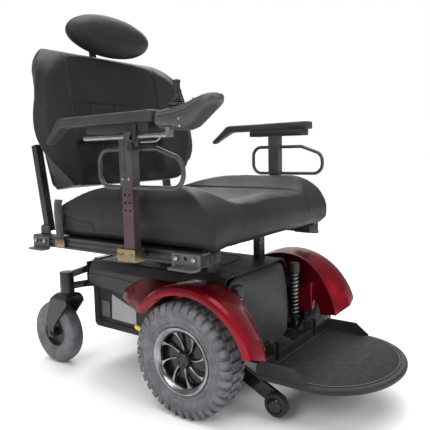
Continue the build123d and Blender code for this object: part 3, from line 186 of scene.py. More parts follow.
def sheet(name, columns, rows, place, thickness=0.0):
    """Curved sheet: a grid whose points are put at place(u, v), both from 0 to 1."""
    bpy.ops.object.select_all(action="DESELECT")
    bpy.ops.mesh.primitive_grid_add(x_subdivisions=columns, y_subdivisions=rows, size=1)
    obj = bpy.context.object
    obj.name = name
    for vertex in obj.data.vertices:
        vertex.co = place(vertex.co.x + 0.5, vertex.co.y + 0.5)
    if thickness:
        wall = obj.modifiers.new("Wall", "SOLIDIFY")
        wall.thickness = thickness
        wall.offset = 0
        bpy.ops.object.modifier_apply(modifier=wall.name)
    edit(obj)
    close(obj)
    smooth(obj, 32)
    return obj


def joined(name, pieces):
    only(pieces[0])
    for piece in pieces[1:]:
        piece.select_set(True)
    if len(pieces) > 1:
        bpy.ops.object.join()
    obj = bpy.context.object
    obj.name = name
    return obj


def ring_of(name, base, count, centre, turn_by=0.0):
    """Copies of one piece, turned in equal steps about an axis along X, and joined."""
    copies = []
    for step in range(count):
        turn = Matrix.Rotation(2 * pi * step / count + turn_by, 4, "X")
        copy = bpy.data.objects.new(name, base.data.copy())
        bpy.context.scene.collection.objects.link(copy)
        copy.data.transform(Matrix.Translation(centre) @ turn @ Matrix.Translation(-centre))
        copies.append(copy)
    bpy.data.objects.remove(base)
    return joined(name, copies)


def copy_of(node, name):
    obj = bpy.data.objects.new(name, NODES[node].data.copy())
    bpy.context.scene.collection.objects.link(obj)
    edit(obj)
    close(obj)
    return obj


def points_of(mesh):
    flat = np.empty(len(mesh.vertices) * 3, np.float32)
    mesh.vertices.foreach_get("co", flat)
    return flat.reshape(-1, 3).astype(float)


def place_points(mesh, points):
    mesh.vertices.foreach_set("co", points.astype(np.float32).ravel())
    mesh.update()


def normals_of(mesh):
    flat = np.empty(len(mesh.vertices) * 3, np.float32)
    mesh.vertices.foreach_get("normal", flat)
    return flat.reshape(-1, 3).astype(float)


def stuffed(name, node, voxel, inset, cap, pressure=4.0):
    """Cushion blown up from a CAD solid: remeshed, drawn in, and swelled as cloth."""
    obj = copy_of(node, name)
    obj.data.remesh_voxel_size = voxel
    bpy.ops.object.voxel_remesh()
    edit(obj)
    bpy.ops.transform.shrink_fatten(value=-inset)
    bpy.ops.mesh.vertices_smooth(factor=0.5, repeat=8)
    bpy.ops.object.mode_set(mode="OBJECT")
    start = points_of(obj.data)
    cloth = obj.modifiers.new("Stuffing", "CLOTH")
    cloth.settings.quality = 4
    cloth.settings.use_pressure = True
    cloth.settings.uniform_pressure_force = pressure
    cloth.settings.effector_weights.gravity = 0
    for step in range(1, 21):
        bpy.context.scene.frame_set(step)
    held = obj.evaluated_get(bpy.context.evaluated_depsgraph_get())
    move = points_of(held.data) - start
    obj.modifiers.remove(cloth)
    bpy.context.scene.frame_set(1)
    length = np.linalg.norm(move, axis=1, keepdims=True) + 1e-9
    place_points(obj.data, start + move * np.minimum(1, cap / length))
    only(obj)
    finer = obj.modifiers.new("Finer", "SUBSURF")
    finer.levels = finer.render_levels = 1
    bpy.ops.object.modifier_apply(modifier=finer.name)
    smooth(obj, 180)
    return obj


def groove(distance, depth, width):
    """Depth in millimetres of a soft seam at this distance from its line."""
    return depth * np.exp(-((distance / width) ** 2))


def sin_up(rise, radius):
    """Angle at which a point on a circle of this radius is this far above its centre."""
    return float(np.arcsin(rise / radius))


def ease(value, low, high):
    share = np.clip((value - low) / (high - low), 0, 1)
    return share * share * (3 - 2 * share)


def sewn(obj, depth_at):
    """Pushes the surface in by depth_at(x, y, z) millimetres, y from the axle."""
    points = points_of(obj.data)
    x, y, z = points[:, 0] * 1000, (points[:, 1] - AXLE.y) * 1000, points[:, 2] * 1000
    depth = depth_at(x, y, z, normals_of(obj.data))
    place_points(obj.data, points - normals_of(obj.data) * depth[:, None] / 1000)


def beside(x, y, a, b):
    """Distance from points to the segment a to b in a plane."""
    a, b = np.array(a, float), np.array(b, float)
    run = b - a
    share = np.clip(((x - a[0]) * run[0] + (y - a[1]) * run[1]) / (run @ run), 0, 1)
    return np.hypot(x - a[0] - share * run[0], y - a[1] - share * run[1])


# ------------------------------------------------------------------ finishes
class Wire:
    """A value inside a material, so that shader maths reads as ordinary maths."""

    def __init__(self, tree, socket):
        self.tree = tree
        self.socket = socket

    def maths(self, operation, *values):
        node = self.tree.nodes.new("ShaderNodeMath")
        node.operation = operation
        for socket, value in zip(node.inputs, values):
            connect(self.tree, socket, value)
        return Wire(self.tree, node.outputs[0])

    def __add__(self, other):
        return self.maths("ADD", self, other)

    def __sub__(self, other):
        return self.maths("SUBTRACT", self, other)

    def __rsub__(self, other):
        return self.maths("SUBTRACT", other, self)

    def __mul__(self, other):
        return self.maths("MULTIPLY", self, other)

    def __truediv__(self, other):
        return self.maths("DIVIDE", self, other)

    __radd__ = __add__
    __rmul__ = __mul__


def connect(tree, socket, value):
    if isinstance(value, Wire):
        tree.links.new(value.socket, socket)
    else:
        socket.default_value = value


class Nodes:
    """A node tree that nodes are added to one at a time."""

    def __init__(self, tree):
        self.tree = tree

    def node(self, kind, settings, values, output=0):
        """Any node: its settings first, then its sockets, and one output."""
        node = self.tree.nodes.new("ShaderNode" + kind)
        for key, value in settings.items():
            if key == "stops":
                ramp = node.color_ramp
                for stop, (position, colour) in zip(ramp.elements, value):
                    stop.position, stop.color = position, (*colour, 1)
            else:
                setattr(node, key, value)
        for key, value in values.items():
            connect(self.tree, node.inputs[key], value)
        return Wire(self.tree, node.outputs[output])


class Finish(Nodes):
    """A material with one principled shader, built up from nodes."""

    def __init__(self, name, **constants):
        self.material = bpy.data.materials.new(name)
        self.material.use_nodes = True
        super().__init__(self.material.node_tree)
        self.shader = self.tree.nodes["Principled BSDF"]
        for key, value in constants.items():
            self.shader.inputs[key.replace("_", " ")].default_value = value
        self.place = self.node("TexCoord", {}, {}, "Object")

    def put(self, socket, value):
        connect(self.tree, self.shader.inputs[socket], value)

    def noise(self, scale, detail=2.0, rough=0.5, place=None):
        values = {"Vector": place or self.place, "Scale": scale, "Detail": detail, "Roughness": rough}
        return self.node("TexNoise", {}, values)

    def cells(self, scale, feature="F1", output=0, place=None):
        values = {"Vector": place or self.place, "Scale": scale}
        return self.node("TexVoronoi", {"feature": feature}, values, output)

    def axis(self, name):
        return self.node("SeparateXYZ", {}, {0: self.place}, name)

    def steps(self, value, low, high):
        values = {"Value": value, "From Min": low, "From Max": high}
        return self.node("MapRange", {"interpolation_type": "SMOOTHSTEP"}, values)

    def mix(self, share, first, second):
        colours = [c if isinstance(c, Wire) else (*c, 1) for c in (first, second)]
        settings = {"data_type": "RGBA"}
        return self.node("Mix", settings, {0: share, 6: colours[0], 7: colours[1]}, 2)

    def bump(self, height, distance, strength=1.0):
        values = {"Height": height, "Distance": distance, "Strength": strength}
        self.put("Normal", self.node("Bump", {}, values))

    def worn(self, base, light, scale=9.0, low=0.35, high=0.7):
        """Base colour that drifts between two close shades."""
        self.put("Base Color", self.mix(self.steps(self.noise(scale, 3), low, high), base, light))

    def rough(self, low, high, scale=14.0):
        self.put("Roughness", self.steps(self.noise(scale, 4, 0.6), 0.25, 0.75) * (high - low) + low)


def leatherette():
    finish = Finish("leatherette", Specular_IOR_Level=0.24)
    colours = bpy.context.scene.wheelchair
    finish.worn(colours.upholstery, [c * 1.5 for c in colours.upholstery], 5.0)
    finish.rough(0.46, 0.6, 7.0)
    creases = finish.cells(520.0, "DISTANCE_TO_EDGE") * 1.6
    pores = finish.noise(1400.0, 2)
    wrinkles = finish.noise(26.0, 3, 0.55)
    finish.bump(creases * 0.35 + pores * 0.25 + wrinkles * 1.6, 0.0009, 0.6)
    return finish.material


def sagging_cloth():
    finish = Finish("back_panel_cloth", Specular_IOR_Level=0.18)
    finish.worn((0.006, 0.006, 0.007), (0.014, 0.014, 0.015), 12.0)
    finish.rough(0.5, 0.7)
    weave = finish.node("TexWave", {"wave_profile": "SIN"}, {"Vector": finish.place, "Scale": 260.0})
    finish.bump(weave * 0.4 + finish.noise(60.0, 3), 0.0008, 0.6)
    return finish.material


def moulded(name, base, light, grain=900.0, low=0.45, high=0.6, depth=0.00025, coat=0.0):
    finish = Finish(name, Specular_IOR_Level=0.3, Coat_Roughness=0.25)
    finish.worn([c * 0.8 for c in base], [c * 0.8 for c in light], 6.0)
    finish.rough(low, high)
    finish.put("Coat Weight", coat)
    dimples = finish.cells(grain)
    finish.bump(dimples + finish.noise(grain * 0.5, 2), depth, 0.5)
    return finish.material


def painted(name, base, light, low=0.28, high=0.42, metal=0.0, peel=160.0):
    finish = Finish(name, Specular_IOR_Level=0.38)
    finish.put("Metallic", metal)
    finish.worn(base, light, 10.0)
    finish.rough(low, high)
    finish.bump(finish.noise(peel, 2) + finish.noise(peel * 6, 2) * 0.2, 0.0002, 0.35)
    return finish.material


def candy_red():
    colour = bpy.context.scene.wheelchair.fender
    finish = Finish("candy_red", Coat_Weight=0.35, Coat_Roughness=0.06, Specular_IOR_Level=0.2)
    flakes = finish.cells(2600.0, "F1", "Color")
    sparkle = finish.node("SeparateColor", {}, {0: flakes}, 0)
    dark = [c * 0.55 for c in colour]
    bright = [min(1, c * 1.5) for c in colour]
    shade = finish.mix(finish.steps(finish.noise(4.0, 2), 0.3, 0.7), dark, colour)
    finish.put("Base Color", finish.mix(finish.steps(sparkle, 0.7, 1.0) * 0.4, shade, bright))
    finish.put("Metallic", 0.8)
    finish.put("Roughness", finish.steps(sparkle, 0.2, 1.0) * 0.12 + 0.34)
    finish.bump(finish.noise(900.0, 2), 0.00003, 0.2)
    return finish.material


def tyre_rubber():
    colour = bpy.context.scene.wheelchair.tyre
    finish = Finish("tyre_rubber", Specular_IOR_Level=0.35)
    dust = finish.steps(finish.noise(38.0, 5, 0.62), 0.35, 0.72)
    finish.put("Base Color", finish.mix(dust, [c * 0.72 for c in colour], [c * 1.25 for c in colour]))
    finish.rough(0.62, 0.82, 40.0)
    finish.bump(finish.noise(420.0, 4, 0.6) + finish.noise(60.0, 2), 0.0006, 0.5)
    return finish.material


def caster_rubber():
    """Grey rubber with fine cross ribs round the tyre."""
    colour = bpy.context.scene.wheelchair.tyre
    finish = Finish("caster_rubber", Specular_IOR_Level=0.4)
    finish.worn([c * 0.7 for c in colour], [c * 1.1 for c in colour], 30.0)
    finish.rough(0.5, 0.68, 40.0)
    away = finish.axis("Y") - CASTER.y
    height = finish.axis("Z") - CASTER.z
    angle = finish.node("Math", {"operation": "ARCTAN2"}, {0: away, 1: height})
    ribs = finish.node("Math", {"operation": "SINE"}, {0: angle * 84.0})
    finish.bump(ribs * 0.5 + finish.noise(300.0, 3) * 0.5, 0.0012, 0.5)
    return finish.material


def polished():
    finish = Finish("polished_rim", Specular_IOR_Level=0.5)
    finish.put("Metallic", 1.0)
    finish.worn((0.2, 0.195, 0.2), (0.32, 0.31, 0.32), 20.0)
    finish.rough(0.16, 0.3, 60.0)
    finish.bump(finish.noise(240.0, 2), 0.00008, 0.3)
    return finish.material


def zinc(name, first, second, low=0.25, high=0.4):
    """Plated steel whose colour drifts, as a passivated finish does."""
    finish = Finish(name, Specular_IOR_Level=0.5)
    finish.put("Metallic", 1.0)
    patches = finish.steps(finish.noise(60.0, 3, 0.6), 0.35, 0.65)
    finish.put("Base Color", finish.mix(patches, first, second))
    finish.rough(low, high, 50.0)
    finish.bump(finish.noise(500.0, 3), 0.0001, 0.4)
    return finish.material


def webbing():
    finish = Finish("webbing", Sheen_Weight=0.2, Specular_IOR_Level=0.25)
    finish.worn((0.012, 0.012, 0.013), (0.03, 0.03, 0.03), 30.0)
    finish.put("Roughness", 0.75)
    across = finish.node("Math", {"operation": "SINE"}, {0: finish.axis("Y") * 2600.0})
    along = finish.node("Math", {"operation": "SINE"}, {0: finish.axis("Z") * 2600.0})
    finish.bump(across * along, 0.0005, 0.7)
    return finish.material


def ribbed_mat():
    finish = Finish("ribbed_mat", Specular_IOR_Level=0.22)
    finish.worn((0.012, 0.012, 0.0125), (0.02, 0.019, 0.0185), 40.0)
    finish.rough(0.56, 0.7, 60.0)
    ribs = finish.node("Math", {"operation": "SINE"}, {0: finish.axis("X") * 1500.0})
    finish.bump(ribs * 0.6 + finish.noise(500.0, 3) * 0.5, 0.0005, 0.5)
    return finish.material


def lens(name, base, light):
    finish = Finish(name, Coat_Weight=0.6, Coat_Roughness=0.05)
    finish.worn(base, light, 18.0)
    finish.rough(0.15, 0.25)
    ribs = finish.node("Math", {"operation": "SINE"}, {0: finish.axis("X") * 2000.0})
    finish.bump(ribs, 0.0002, 0.4)
    return finish.material


def make_finishes():
    """One material for each finish, and the material each record slot takes."""
    made = {
        "leather": leatherette(),
        "panel": sagging_cloth(),
        "red": candy_red(),
        "tyre": tyre_rubber(),
        "caster": caster_rubber(),
        "polish": polished(),
        "webbing": webbing(),
        "mat": ribbed_mat(),
        "frame": painted("satin_black", (0.012, 0.012, 0.013), (0.022, 0.022, 0.023)),
        "gloss": painted("gloss_black", (0.008, 0.008, 0.009), (0.014, 0.014, 0.015), 0.1, 0.2),
        "plastic": moulded("black_plastic", (0.014, 0.014, 0.015), (0.026, 0.026, 0.027)),
        "shroud": moulded("charcoal_cover", (0.04, 0.04, 0.043), (0.055, 0.055, 0.058), 1300.0, 0.42, 0.55),
        "case": moulded("battery_case", (0.03, 0.03, 0.032), (0.045, 0.045, 0.047)),
        "motor": painted("motor_grey", (0.05, 0.05, 0.053), (0.08, 0.08, 0.083), 0.4, 0.55, 0.6),
        "bracket": painted("bracket_grey", (0.07, 0.07, 0.075), (0.1, 0.1, 0.105), 0.35, 0.5, 0.3),
        "post": painted("post_grey", (0.05, 0.047, 0.047), (0.075, 0.071, 0.071), 0.34, 0.48, 0.4),
        "bronze": painted("socket_bronze", (0.075, 0.045, 0.055), (0.12, 0.08, 0.09), 0.3, 0.45, 0.6),
        "pod": moulded("pod_grey", (0.045, 0.044, 0.048), (0.07, 0.068, 0.072), 1800.0, 0.26, 0.36, 0.0001),
        "pad": moulded("pad_vinyl", (0.03, 0.03, 0.032), (0.045, 0.045, 0.047), 700.0, 0.5, 0.65),
        "rubber": moulded("black_rubber", (0.016, 0.016, 0.017), (0.03, 0.03, 0.03), 600.0, 0.55, 0.7),
        "silver_panel": moulded("label_panel", (0.36, 0.35, 0.36), (0.42, 0.41, 0.42), 500.0, 0.45, 0.6),
        "dark_panel": moulded("dark_panel", (0.10, 0.10, 0.11), (0.13, 0.13, 0.14), 800.0, 0.4, 0.5),
        "yellow": moulded("lever_yellow", (0.75, 0.55, 0.02), (0.85, 0.66, 0.05), 500.0, 0.3, 0.4),
        "seam": moulded("controller_seam", (0.13, 0.08, 0.06), (0.2, 0.13, 0.1), 500.0, 0.4, 0.5),
        "brown_line": moulded("mat_groove", (0.16, 0.115, 0.085), (0.22, 0.16, 0.12), 500.0, 0.6, 0.7),
        "zinc": zinc("yellow_zinc", (0.26, 0.2, 0.07), (0.2, 0.17, 0.13)),
        "brass": zinc("brass_screw", (0.55, 0.42, 0.16), (0.48, 0.38, 0.18)),
        "spring": zinc("spring_steel", (0.28, 0.28, 0.29), (0.42, 0.42, 0.42)),
        "chrome": zinc("bright_rod", (0.22, 0.22, 0.23), (0.3, 0.3, 0.3), 0.26, 0.36),
        "lens": lens("tail_lens", (0.2, 0.03, 0.035), (0.3, 0.07, 0.07)),
    }
    slots = {
        "frame_black": "frame",
        "plastic_black": "plastic",
        "shroud_charcoal": "shroud",
        "battery_case": "case",
        "motor_grey": "motor",
        "lens_red": "lens",
        "rubber_black": "rubber",
        "upholstery": "leather",
        "webbing": "webbing",
        "bracket_grey": "bracket",
        "zinc": "zinc",
        "post_bronze": "bronze",
        "chrome": "chrome",
        "pod_grey": "pod",
        "tyre_grey": "tyre",
        "rim_silver": "polish",
        "spring_steel": "spring",
        "fender_red": "red",
        "lever_yellow": "yellow",
        "post_grey": "post",
        "arm_pad": "pad",
    }
    return made, slots


FINISHES = {}


def paint(obj, *names):
    obj.data.materials.clear()
    for name in names:
        obj.data.materials.append(FINISHES[name])


def fit(obj, finish, body, slot, *nodes):
    """Gives a finished piece its material and its body, and hides the CAD parts it stands for. The slot argument
    is not used.
    """
    paint(obj, *([finish] if isinstance(finish, str) else finish))
    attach(obj, body)
    if nodes:
        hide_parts(*nodes)
    return obj


def aim(light, place, target):
    """Hangs a light at a place and turns it to its target."""
    lamp = bpy.data.objects.new(light.name, light)
    bpy.context.scene.collection.objects.link(lamp)
    lamp.location = place
    lamp.rotation_mode = "QUATERNION"
    lamp.rotation_quaternion = (Vector(target) - Vector(place)).to_track_quat("-Z", "Y")


# ------------------------------------------------------------------ settings
class WheelchairSettings(bpy.types.PropertyGroup):
    upholstery: bpy.props.FloatVectorProperty(
        name="Upholstery", description="Colour of the leatherette", subtype="COLOR", default=(0.012, 0.0115, 0.012)
    )
    fender: bpy.props.FloatVectorProperty(
        name="Fenders", description="Colour of the candy paint", subtype="COLOR", default=(0.21, 0.0005, 0.0095)
    )
    tyre: bpy.props.FloatVectorProperty(
        name="Tyres", description="Colour of the grey rubber", subtype="COLOR", default=(0.125, 0.128, 0.14)
    )
    voxel: bpy.props.FloatProperty(
        name="Cushion detail",
        description="Cell size the cushions are remeshed at",
        subtype="DISTANCE",
        default=0.007,
    )
    lugs: bpy.props.IntProperty(name="Tread lugs", description="Tread blocks in one turn", default=36)
    spokes: bpy.props.IntProperty(name="Spokes", description="Spokes in each drive wheel", default=8)


# ------------------------------------------------------------------ pieces
class WHEELCHAIR_OT_finishes(bpy.types.Operator):
    """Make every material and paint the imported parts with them"""

    bl_idname = "wheelchair.finishes"
    bl_label = "Finishes"

    def execute(self, context):
        made, slots = make_finishes()
        FINISHES.update(made)
        for name, obj in NODES.items():
            paint(obj, slots[SLOT_OF[name]])
        for side, _ in SIDES:
            paint(NODES[f"caster_tyre_{side}"], "caster")
            paint(NODES[f"antitip_arm_{side}"], "gloss")
        return {"FINISHED"}


class WHEELCHAIR_OT_seat(bpy.types.Operator):
    """Model the seat cushion with its side bolsters, front roll and seams"""

    bl_idname = "wheelchair.seat"
    bl_label = "Seat cushion"

    def execute(self, context):
        seat = stuffed("seat_upholstery", "seat_cushion", context.scene.wheelchair.voxel, 0.004, 0.006)
        sewn(seat, self.depth)
        fit(seat, "leather", "chassis", "upholstery", "seat_cushion")
        return {"FINISHED"}

    @staticmethod
    def depth(x, y, z, normal):
        across = np.abs(x)
        upper = ease(z, 560, 600) * (normal[:, 2] > -0.3)
        seam = groove(across - 212 - 10 * ease(y, -120, 60), 5.0, 5.0) * upper
        roll = -15 * np.exp(-(((y + 78) / 46) ** 2)) * (1 - ease(across, 150, 215))
        dip = 9 * np.exp(-(((y - 60) / 120) ** 2)) * (1 - ease(across, 150, 230))
        top = ease(normal[:, 2], 0.3, 0.8)
        flap = [((466, 590), (340, 574)), ((340, 574), (328, 532)), ((466, 590), (493, 527))]
        side = ease(across, 352, 362)
        lines = sum(groove(beside(y, z, a, b), 3.5, 4.0) for a, b in flap) * side
        pipe = groove(beside(y, z, (-118, 560), (500, 556)), 1.2, 30.0) * side
        return seam + (roll + dip) * top + lines + pipe


class WHEELCHAIR_OT_backrest(bpy.types.Operator):
    """Model the backrest cushion with its wings, tucks and sagging lower panel"""

    bl_idname = "wheelchair.backrest"
    bl_label = "Backrest cushion"

    @staticmethod
    def in_back(y, z):
        away, up = y - BACK_FOOT_Y, z - BACK_FOOT_Z
        n = up * sin(BACK_LEAN) - away * cos(BACK_LEAN)
        return n, away * sin(BACK_LEAN) + up * cos(BACK_LEAN)

    def execute(self, context):
        back = stuffed("back_upholstery", "back_cushion", context.scene.wheelchair.voxel, 0.003, 0.004)
        sewn(back, self.depth)
        paint(back, "leather", "panel")
        for face in back.data.polygons:
            x, y, z = face.center
            n, v = self.in_back((y - AXLE.y) * 1000, z * 1000)
            if abs(x * 1000) < 228 and 138 < v < 306 and n > 30 and face.normal.y < -0.3:
                face.material_index = 1
        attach(back, "backrest")
        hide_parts("back_cushion")
        return {"FINISHED"}

    @classmethod
    def depth(cls, x, y, z, normal):
        n, v = cls.in_back(y, z)
        across = np.abs(x)
        front = ease(-normal[:, 1], 0.1, 0.5)
        wing = groove(across - 236, 7.0, 6.0) * (1 - ease(v, 560, 640))
        inner = 1 - ease(across, 222, 240)
        seam = groove(v - 441, 5.0, 4.5) * inner
        tucks = 0
        for place in (-122, -2, 118):
            fade = ease(v, 385, 425) * (1 - ease(v, 436, 446))
            tucks = tucks + groove(x - place - 0.08 * (441 - v), 6.0, 5.0) * fade
        panel = ease(v, 138, 170) * (1 - ease(v, 286, 306)) * inner
        folds = 3.5 * np.sin(x / 17 + 1.3 * np.sin(v / 34)) * ease(across, 20, 120)
        sag = (9 + folds) * panel + groove(v - 306, 4.0, 4.0) * inner
        quilt = -5 * np.exp(-(((v - 500) / 90) ** 2)) * (1 - ease(across, 140, 235))
        return (wing + seam + tucks + sag + quilt) * front


class WHEELCHAIR_OT_headrest(bpy.types.Operator):
    """Model the oval headrest with its seam"""

    bl_idname = "wheelchair.headrest"
    bl_label = "Headrest"

    def execute(self, context):
        pad = stuffed("headrest_upholstery", "headrest_pad", 0.005, 0.005, 0.008)
        sewn(pad, self.depth)
        fit(pad, "leather", "headrest", "upholstery", "headrest_pad")
        return {"FINISHED"}

    @staticmethod
    def depth(x, y, z, normal):
        n, v = WHEELCHAIR_OT_backrest.in_back(y, z)
        return groove(n - 70, 3.0, 3.0)


class WHEELCHAIR_OT_drive_tyres(bpy.types.Operator):
    """Model the drive tyres with ringed sidewalls and chunky tread blocks"""

    bl_idname = "wheelchair.drive_tyres"
    bl_label = "Drive tyres"

    wall = [
        (36, 98.3),
        (38, 104.5),
        (41, 107),
        (44, 112),
        (44.5, 117),
        (42.8, 119),
        (44.5, 121.5),
        (47.5, 131),
        (47.8, 139),
        (46.6, 140.5),
        (47.6, 142.5),
        (46, 152),
        (43, 161),
        (38, 167.5),
        (28, 170.4),
        (12, 171.6),
    ]

    def execute(self, context):
        lugs = context.scene.wheelchair.lugs
        for name, side in SIDES:
            centre = Vector((side * AXLE.x, AXLE.y, AXLE.z))
            section = self.wall + [(-o, r) for o, r in reversed(self.wall)]
            parts = [lathe("carcass", section, centre, side, 108)]
            for mirror in (-1, 1):
                shoulder = [
                    (26, 168), (26, 177.2), (37, 176.2), (44.5, 171), (48.4, 160), (49.4, 148),
                    (45.5, 147), (40, 164),
                ]
                parts.append(self.lug(shoulder, mirror, 19, 3 * mirror, centre, lugs, 0))
                crown = [(2, 169), (2, 177.5), (21, 177.3), (21, 169)]
                parts.append(self.lug(crown, mirror, 20, -6 * mirror, centre, lugs, pi / lugs))
                step = [(19, 169), (19, 174.5), (29, 173.8), (29, 168)]
                parts.append(self.lug(step, mirror, 9, 0, centre, lugs, pi / lugs * 0.5))
            tyre = joined(f"tyre_{name}", parts)
            fit(tyre, "tyre", f"drive_wheel_{name}", "tyre_grey", f"drive_tyre_{name}")
        return {"FINISHED"}

    @staticmethod
    def lug(section, mirror, length, skew, centre, count, turn_by):
        """One tread block, repeated all round."""
        start = centre - Vector((skew / 2000, length / 2000, 0))
        corners = [start + Vector((mirror * o / 1000, 0, r / 1000)) for o, r in section]
        base = plate("lug", corners, (skew / 1000, length / 1000, 0), 0.0009, 1)
        smooth(base, 24)
        return ring_of("lugs", base, count, centre, turn_by)


class WHEELCHAIR_OT_drive_rims(bpy.types.Operator):
    """Model the drive rims with a polished lip and curved spokes over black pockets"""

    bl_idname = "wheelchair.drive_rims"
    bl_label = "Drive rims"

    def execute(self, context):
        spokes = context.scene.wheelchair.spokes
        for name, side in SIDES:
            centre = Vector((side * AXLE.x, AXLE.y, AXLE.z))
            lip = [
                (35, 98), (38, 103.6), (41, 104), (43, 102.6), (42.5, 98), (39, 93), (36, 88),
                (30, 84.5), (22, 83.5), (22, 88), (33, 96),
            ]
            bright = [lathe("lip", lip, centre, side, 96)]
            bright.append(ring_of("spokes", self.spoke(centre, side), spokes, centre))
            bright = joined(f"rim_{name}", bright)
            drum = [(-36, 91), (-36, 97.8), (34.6, 97.8), (26, 92), (-20, 90)]
            disc = [(4, 22), (4, 92), (9, 92), (13, 60), (13, 22)]
            hub = [(-24, 0), (-24, 30), (8, 30), (14, 27), (29, 25), (33, 22), (33, 16), (30, 14), (30, 0)]
            axle = [(-103, 0), (-103, 10), (-22, 10), (-22, 0)]
            core = [lathe("core", s, centre, side, 64) for s in (drum, disc, hub, axle)]
            core = joined(f"rim_core_{name}", core)
            body = f"drive_wheel_{name}"
            fit(bright, "polish", body, "rim_silver", f"drive_rim_{name}")
            fit(core, "gloss", body, "rim_silver")
        return {"FINISHED"}

    @staticmethod
    def spoke(centre, side):
        """Slim swept spoke that flares where it meets the lip."""
        stations = [
            (20, 4.5), (30, 3.2), (42, 2.4), (56, 2.2), (68, 2.7), (77, 4.4), (84, 8.0),
            (89, 13.5), (93, 22.0),
        ]
        edges = []
        for r, half in stations:
            sweep = 0.36 * ((r - 20) / 72) ** 1.4
            face = 20 + 13 * (r / 92) ** 2
            edges.append((r, sweep, half / r, face))
        corners = []
        for sign, run in ((1, edges), (-1, list(reversed(edges)))):
            for r, sweep, half, face in run:
                angle = sweep + sign * half
                turned = Vector((side * face, r * sin(angle), r * cos(angle))) / 1000
                corners.append(centre + turned)
        return plate("spoke", corners, (-side * 0.009, 0.003, 0), 0.0013, 2)


class WHEELCHAIR_OT_fenders(bpy.types.Operator):
    """Model the red fenders: crowned arch, inner wall with its pocket, and rear fairing"""

    bl_idname = "wheelchair.fenders"
    bl_label = "Fenders"

    centre = (-30, 170)
    crown = [
        (0, 0), (2, 5), (9, 10), (24, 14), (60, 20), (92, 22), (108, 20), (116, 14), (119, 5),
        (119, -6),
    ]

    def execute(self, context):
        for name, side in SIDES:
            arch = sheet("arch", 9, 60, lambda u, v: self.on_arch(side, u, v), 0.0035)
            wall = sheet("wall", 6, 44, lambda u, v: self.on_wall(side, u, v), 0.003)
            parts = [arch, wall, self.pocket(side), self.fairing(side)]
            fender = joined(f"fender_shell_{name}", parts)
            fit(fender, "red", "chassis", "fender_red", f"fender_{name}")
        return {"FINISHED"}

    @classmethod
    def rim(cls, angle):
        """Radius of the inner edge: drawn in over the front, full height over the top."""
        return 206 + 30 * ease(angle, radians(25), radians(80))

    @classmethod
    def on_arch(cls, side, u, v):
        position = u * (len(cls.crown) - 1)
        index = min(int(position), len(cls.crown) - 2)
        (x0, r0), (x1, r1) = cls.crown[index : index + 2]
        x = x0 + (x1 - x0) * (position - index)
        lift = r0 + (r1 - r0) * (position - index)
        low = 28 + 0.36 * x
        first = sin_up(low, 225)
        angle = first + (radians(140) - first) * v
        edge = cls.rim(angle)
        full = 221 + lift
        radius = edge + (full - edge) * min(1, x / 60) if x < 60 else full
        radius = min(radius, 241.5)
        return at(side * (243 + x), cls.centre[0] - radius * cos(angle), cls.centre[1] + radius * sin(angle))

    @classmethod
    def on_wall(cls, side, u, v):
        first = sin_up(28, 206)
        angle = first + (radians(152) - first) * v
        radius = 150 + (cls.rim(angle) - 151) * u
        return at(side * 243, cls.centre[0] - radius * cos(angle), cls.centre[1] + radius * sin(angle))

    @staticmethod
    def pocket(side):
        face = [(-82, 280), (-158, 318), (-158, 214), (-94, 196)]
        corners = [at(side * 208, y, z) for y, z in face]
        return plate("pocket", corners, (side * 0.034, 0, 0), 0.004, 3)

    @staticmethod
    def fairing(side):
        """Flat-faced box that runs back from the arch to the cover's side."""
        inner = [
            (206, 84, 372), (206, 272, 370), (206, 364, 317), (206, 382, 282), (206, 312, 240),
            (206, 170, 240),
        ]
        outer = [(298, 96, 352), (298, 184, 327), (296, 200, 279), (236, 178, 240)]
        corners = [at(side * x, y, z) for x, y, z in inner + outer]
        obj = outline("fairing", corners, "NOTHING")
        edit(obj)
        bpy.ops.mesh.convex_hull(join_triangles=True, face_threshold=radians(14), shape_threshold=radians(40))
        close(obj)
        smooth(obj, 45)
        return obj


class WHEELCHAIR_OT_casters(bpy.types.Operator):
    """Model the rear tyres and the anti-tip wheels"""

    bl_idname = "wheelchair.casters"
    bl_label = "Casters and anti-tip wheels"

    def execute(self, context):
        for name, side in SIDES:
            self.caster(name, side)
            self.anti_tip(name, side)
        return {"FINISHED"}

    def caster(self, name, side):
        centre = Vector((side * CASTER.x, CASTER.y, CASTER.z))
        half = [
            (21.5, 56.2), (21.5, 62), (24, 66), (27.5, 75), (29.6, 86), (29.8, 95), (28, 104),
            (23.5, 111),
        ]
        ribs = []
        for offset in (19, 12.5, 6):
            crown = 118.8 - (offset / 30) ** 2 * 13
            ribs += [
                (offset + 1.6, crown - 1.3), (offset + 1.1, crown), (offset - 4.2, crown + 0.4),
                (offset - 4.7, crown - 1.2),
            ]
        half += ribs
        section = half + [(-o, r) for o, r in reversed(half)]
        tyre = lathe(f"caster_{name}", section, centre, side, 96)
        fit(tyre, "caster", f"caster_wheel_{name}", "tyre_grey", f"caster_tyre_{name}")

    def anti_tip(self, name, side):
        centre = Vector((side * TIP.x, TIP.y, TIP.z))
        tread = [
            (-13.9, 6), (-13.9, 28), (-12, 34), (-8, 36.8), (0, 37), (8, 36.8), (12, 34),
            (13.9, 28), (13.9, 25), (9, 24), (9, 6),
        ]
        tyre = lathe(f"anti_tip_tyre_{name}", tread, centre, side, 48)
        fit(tyre, "rubber", f"antitip_wheel_{name}", "rubber_black", f"antitip_wheel_{name}")
        dome = [(9.2, 5.5), (9.2, 23.5), (12, 23), (15, 19.5), (17, 13), (17.6, 8), (17.6, 5.5)]
        cap = lathe(f"anti_tip_cap_{name}", dome, centre, side, 48)
        fit(cap, "gloss", f"antitip_wheel_{name}", "rubber_black")


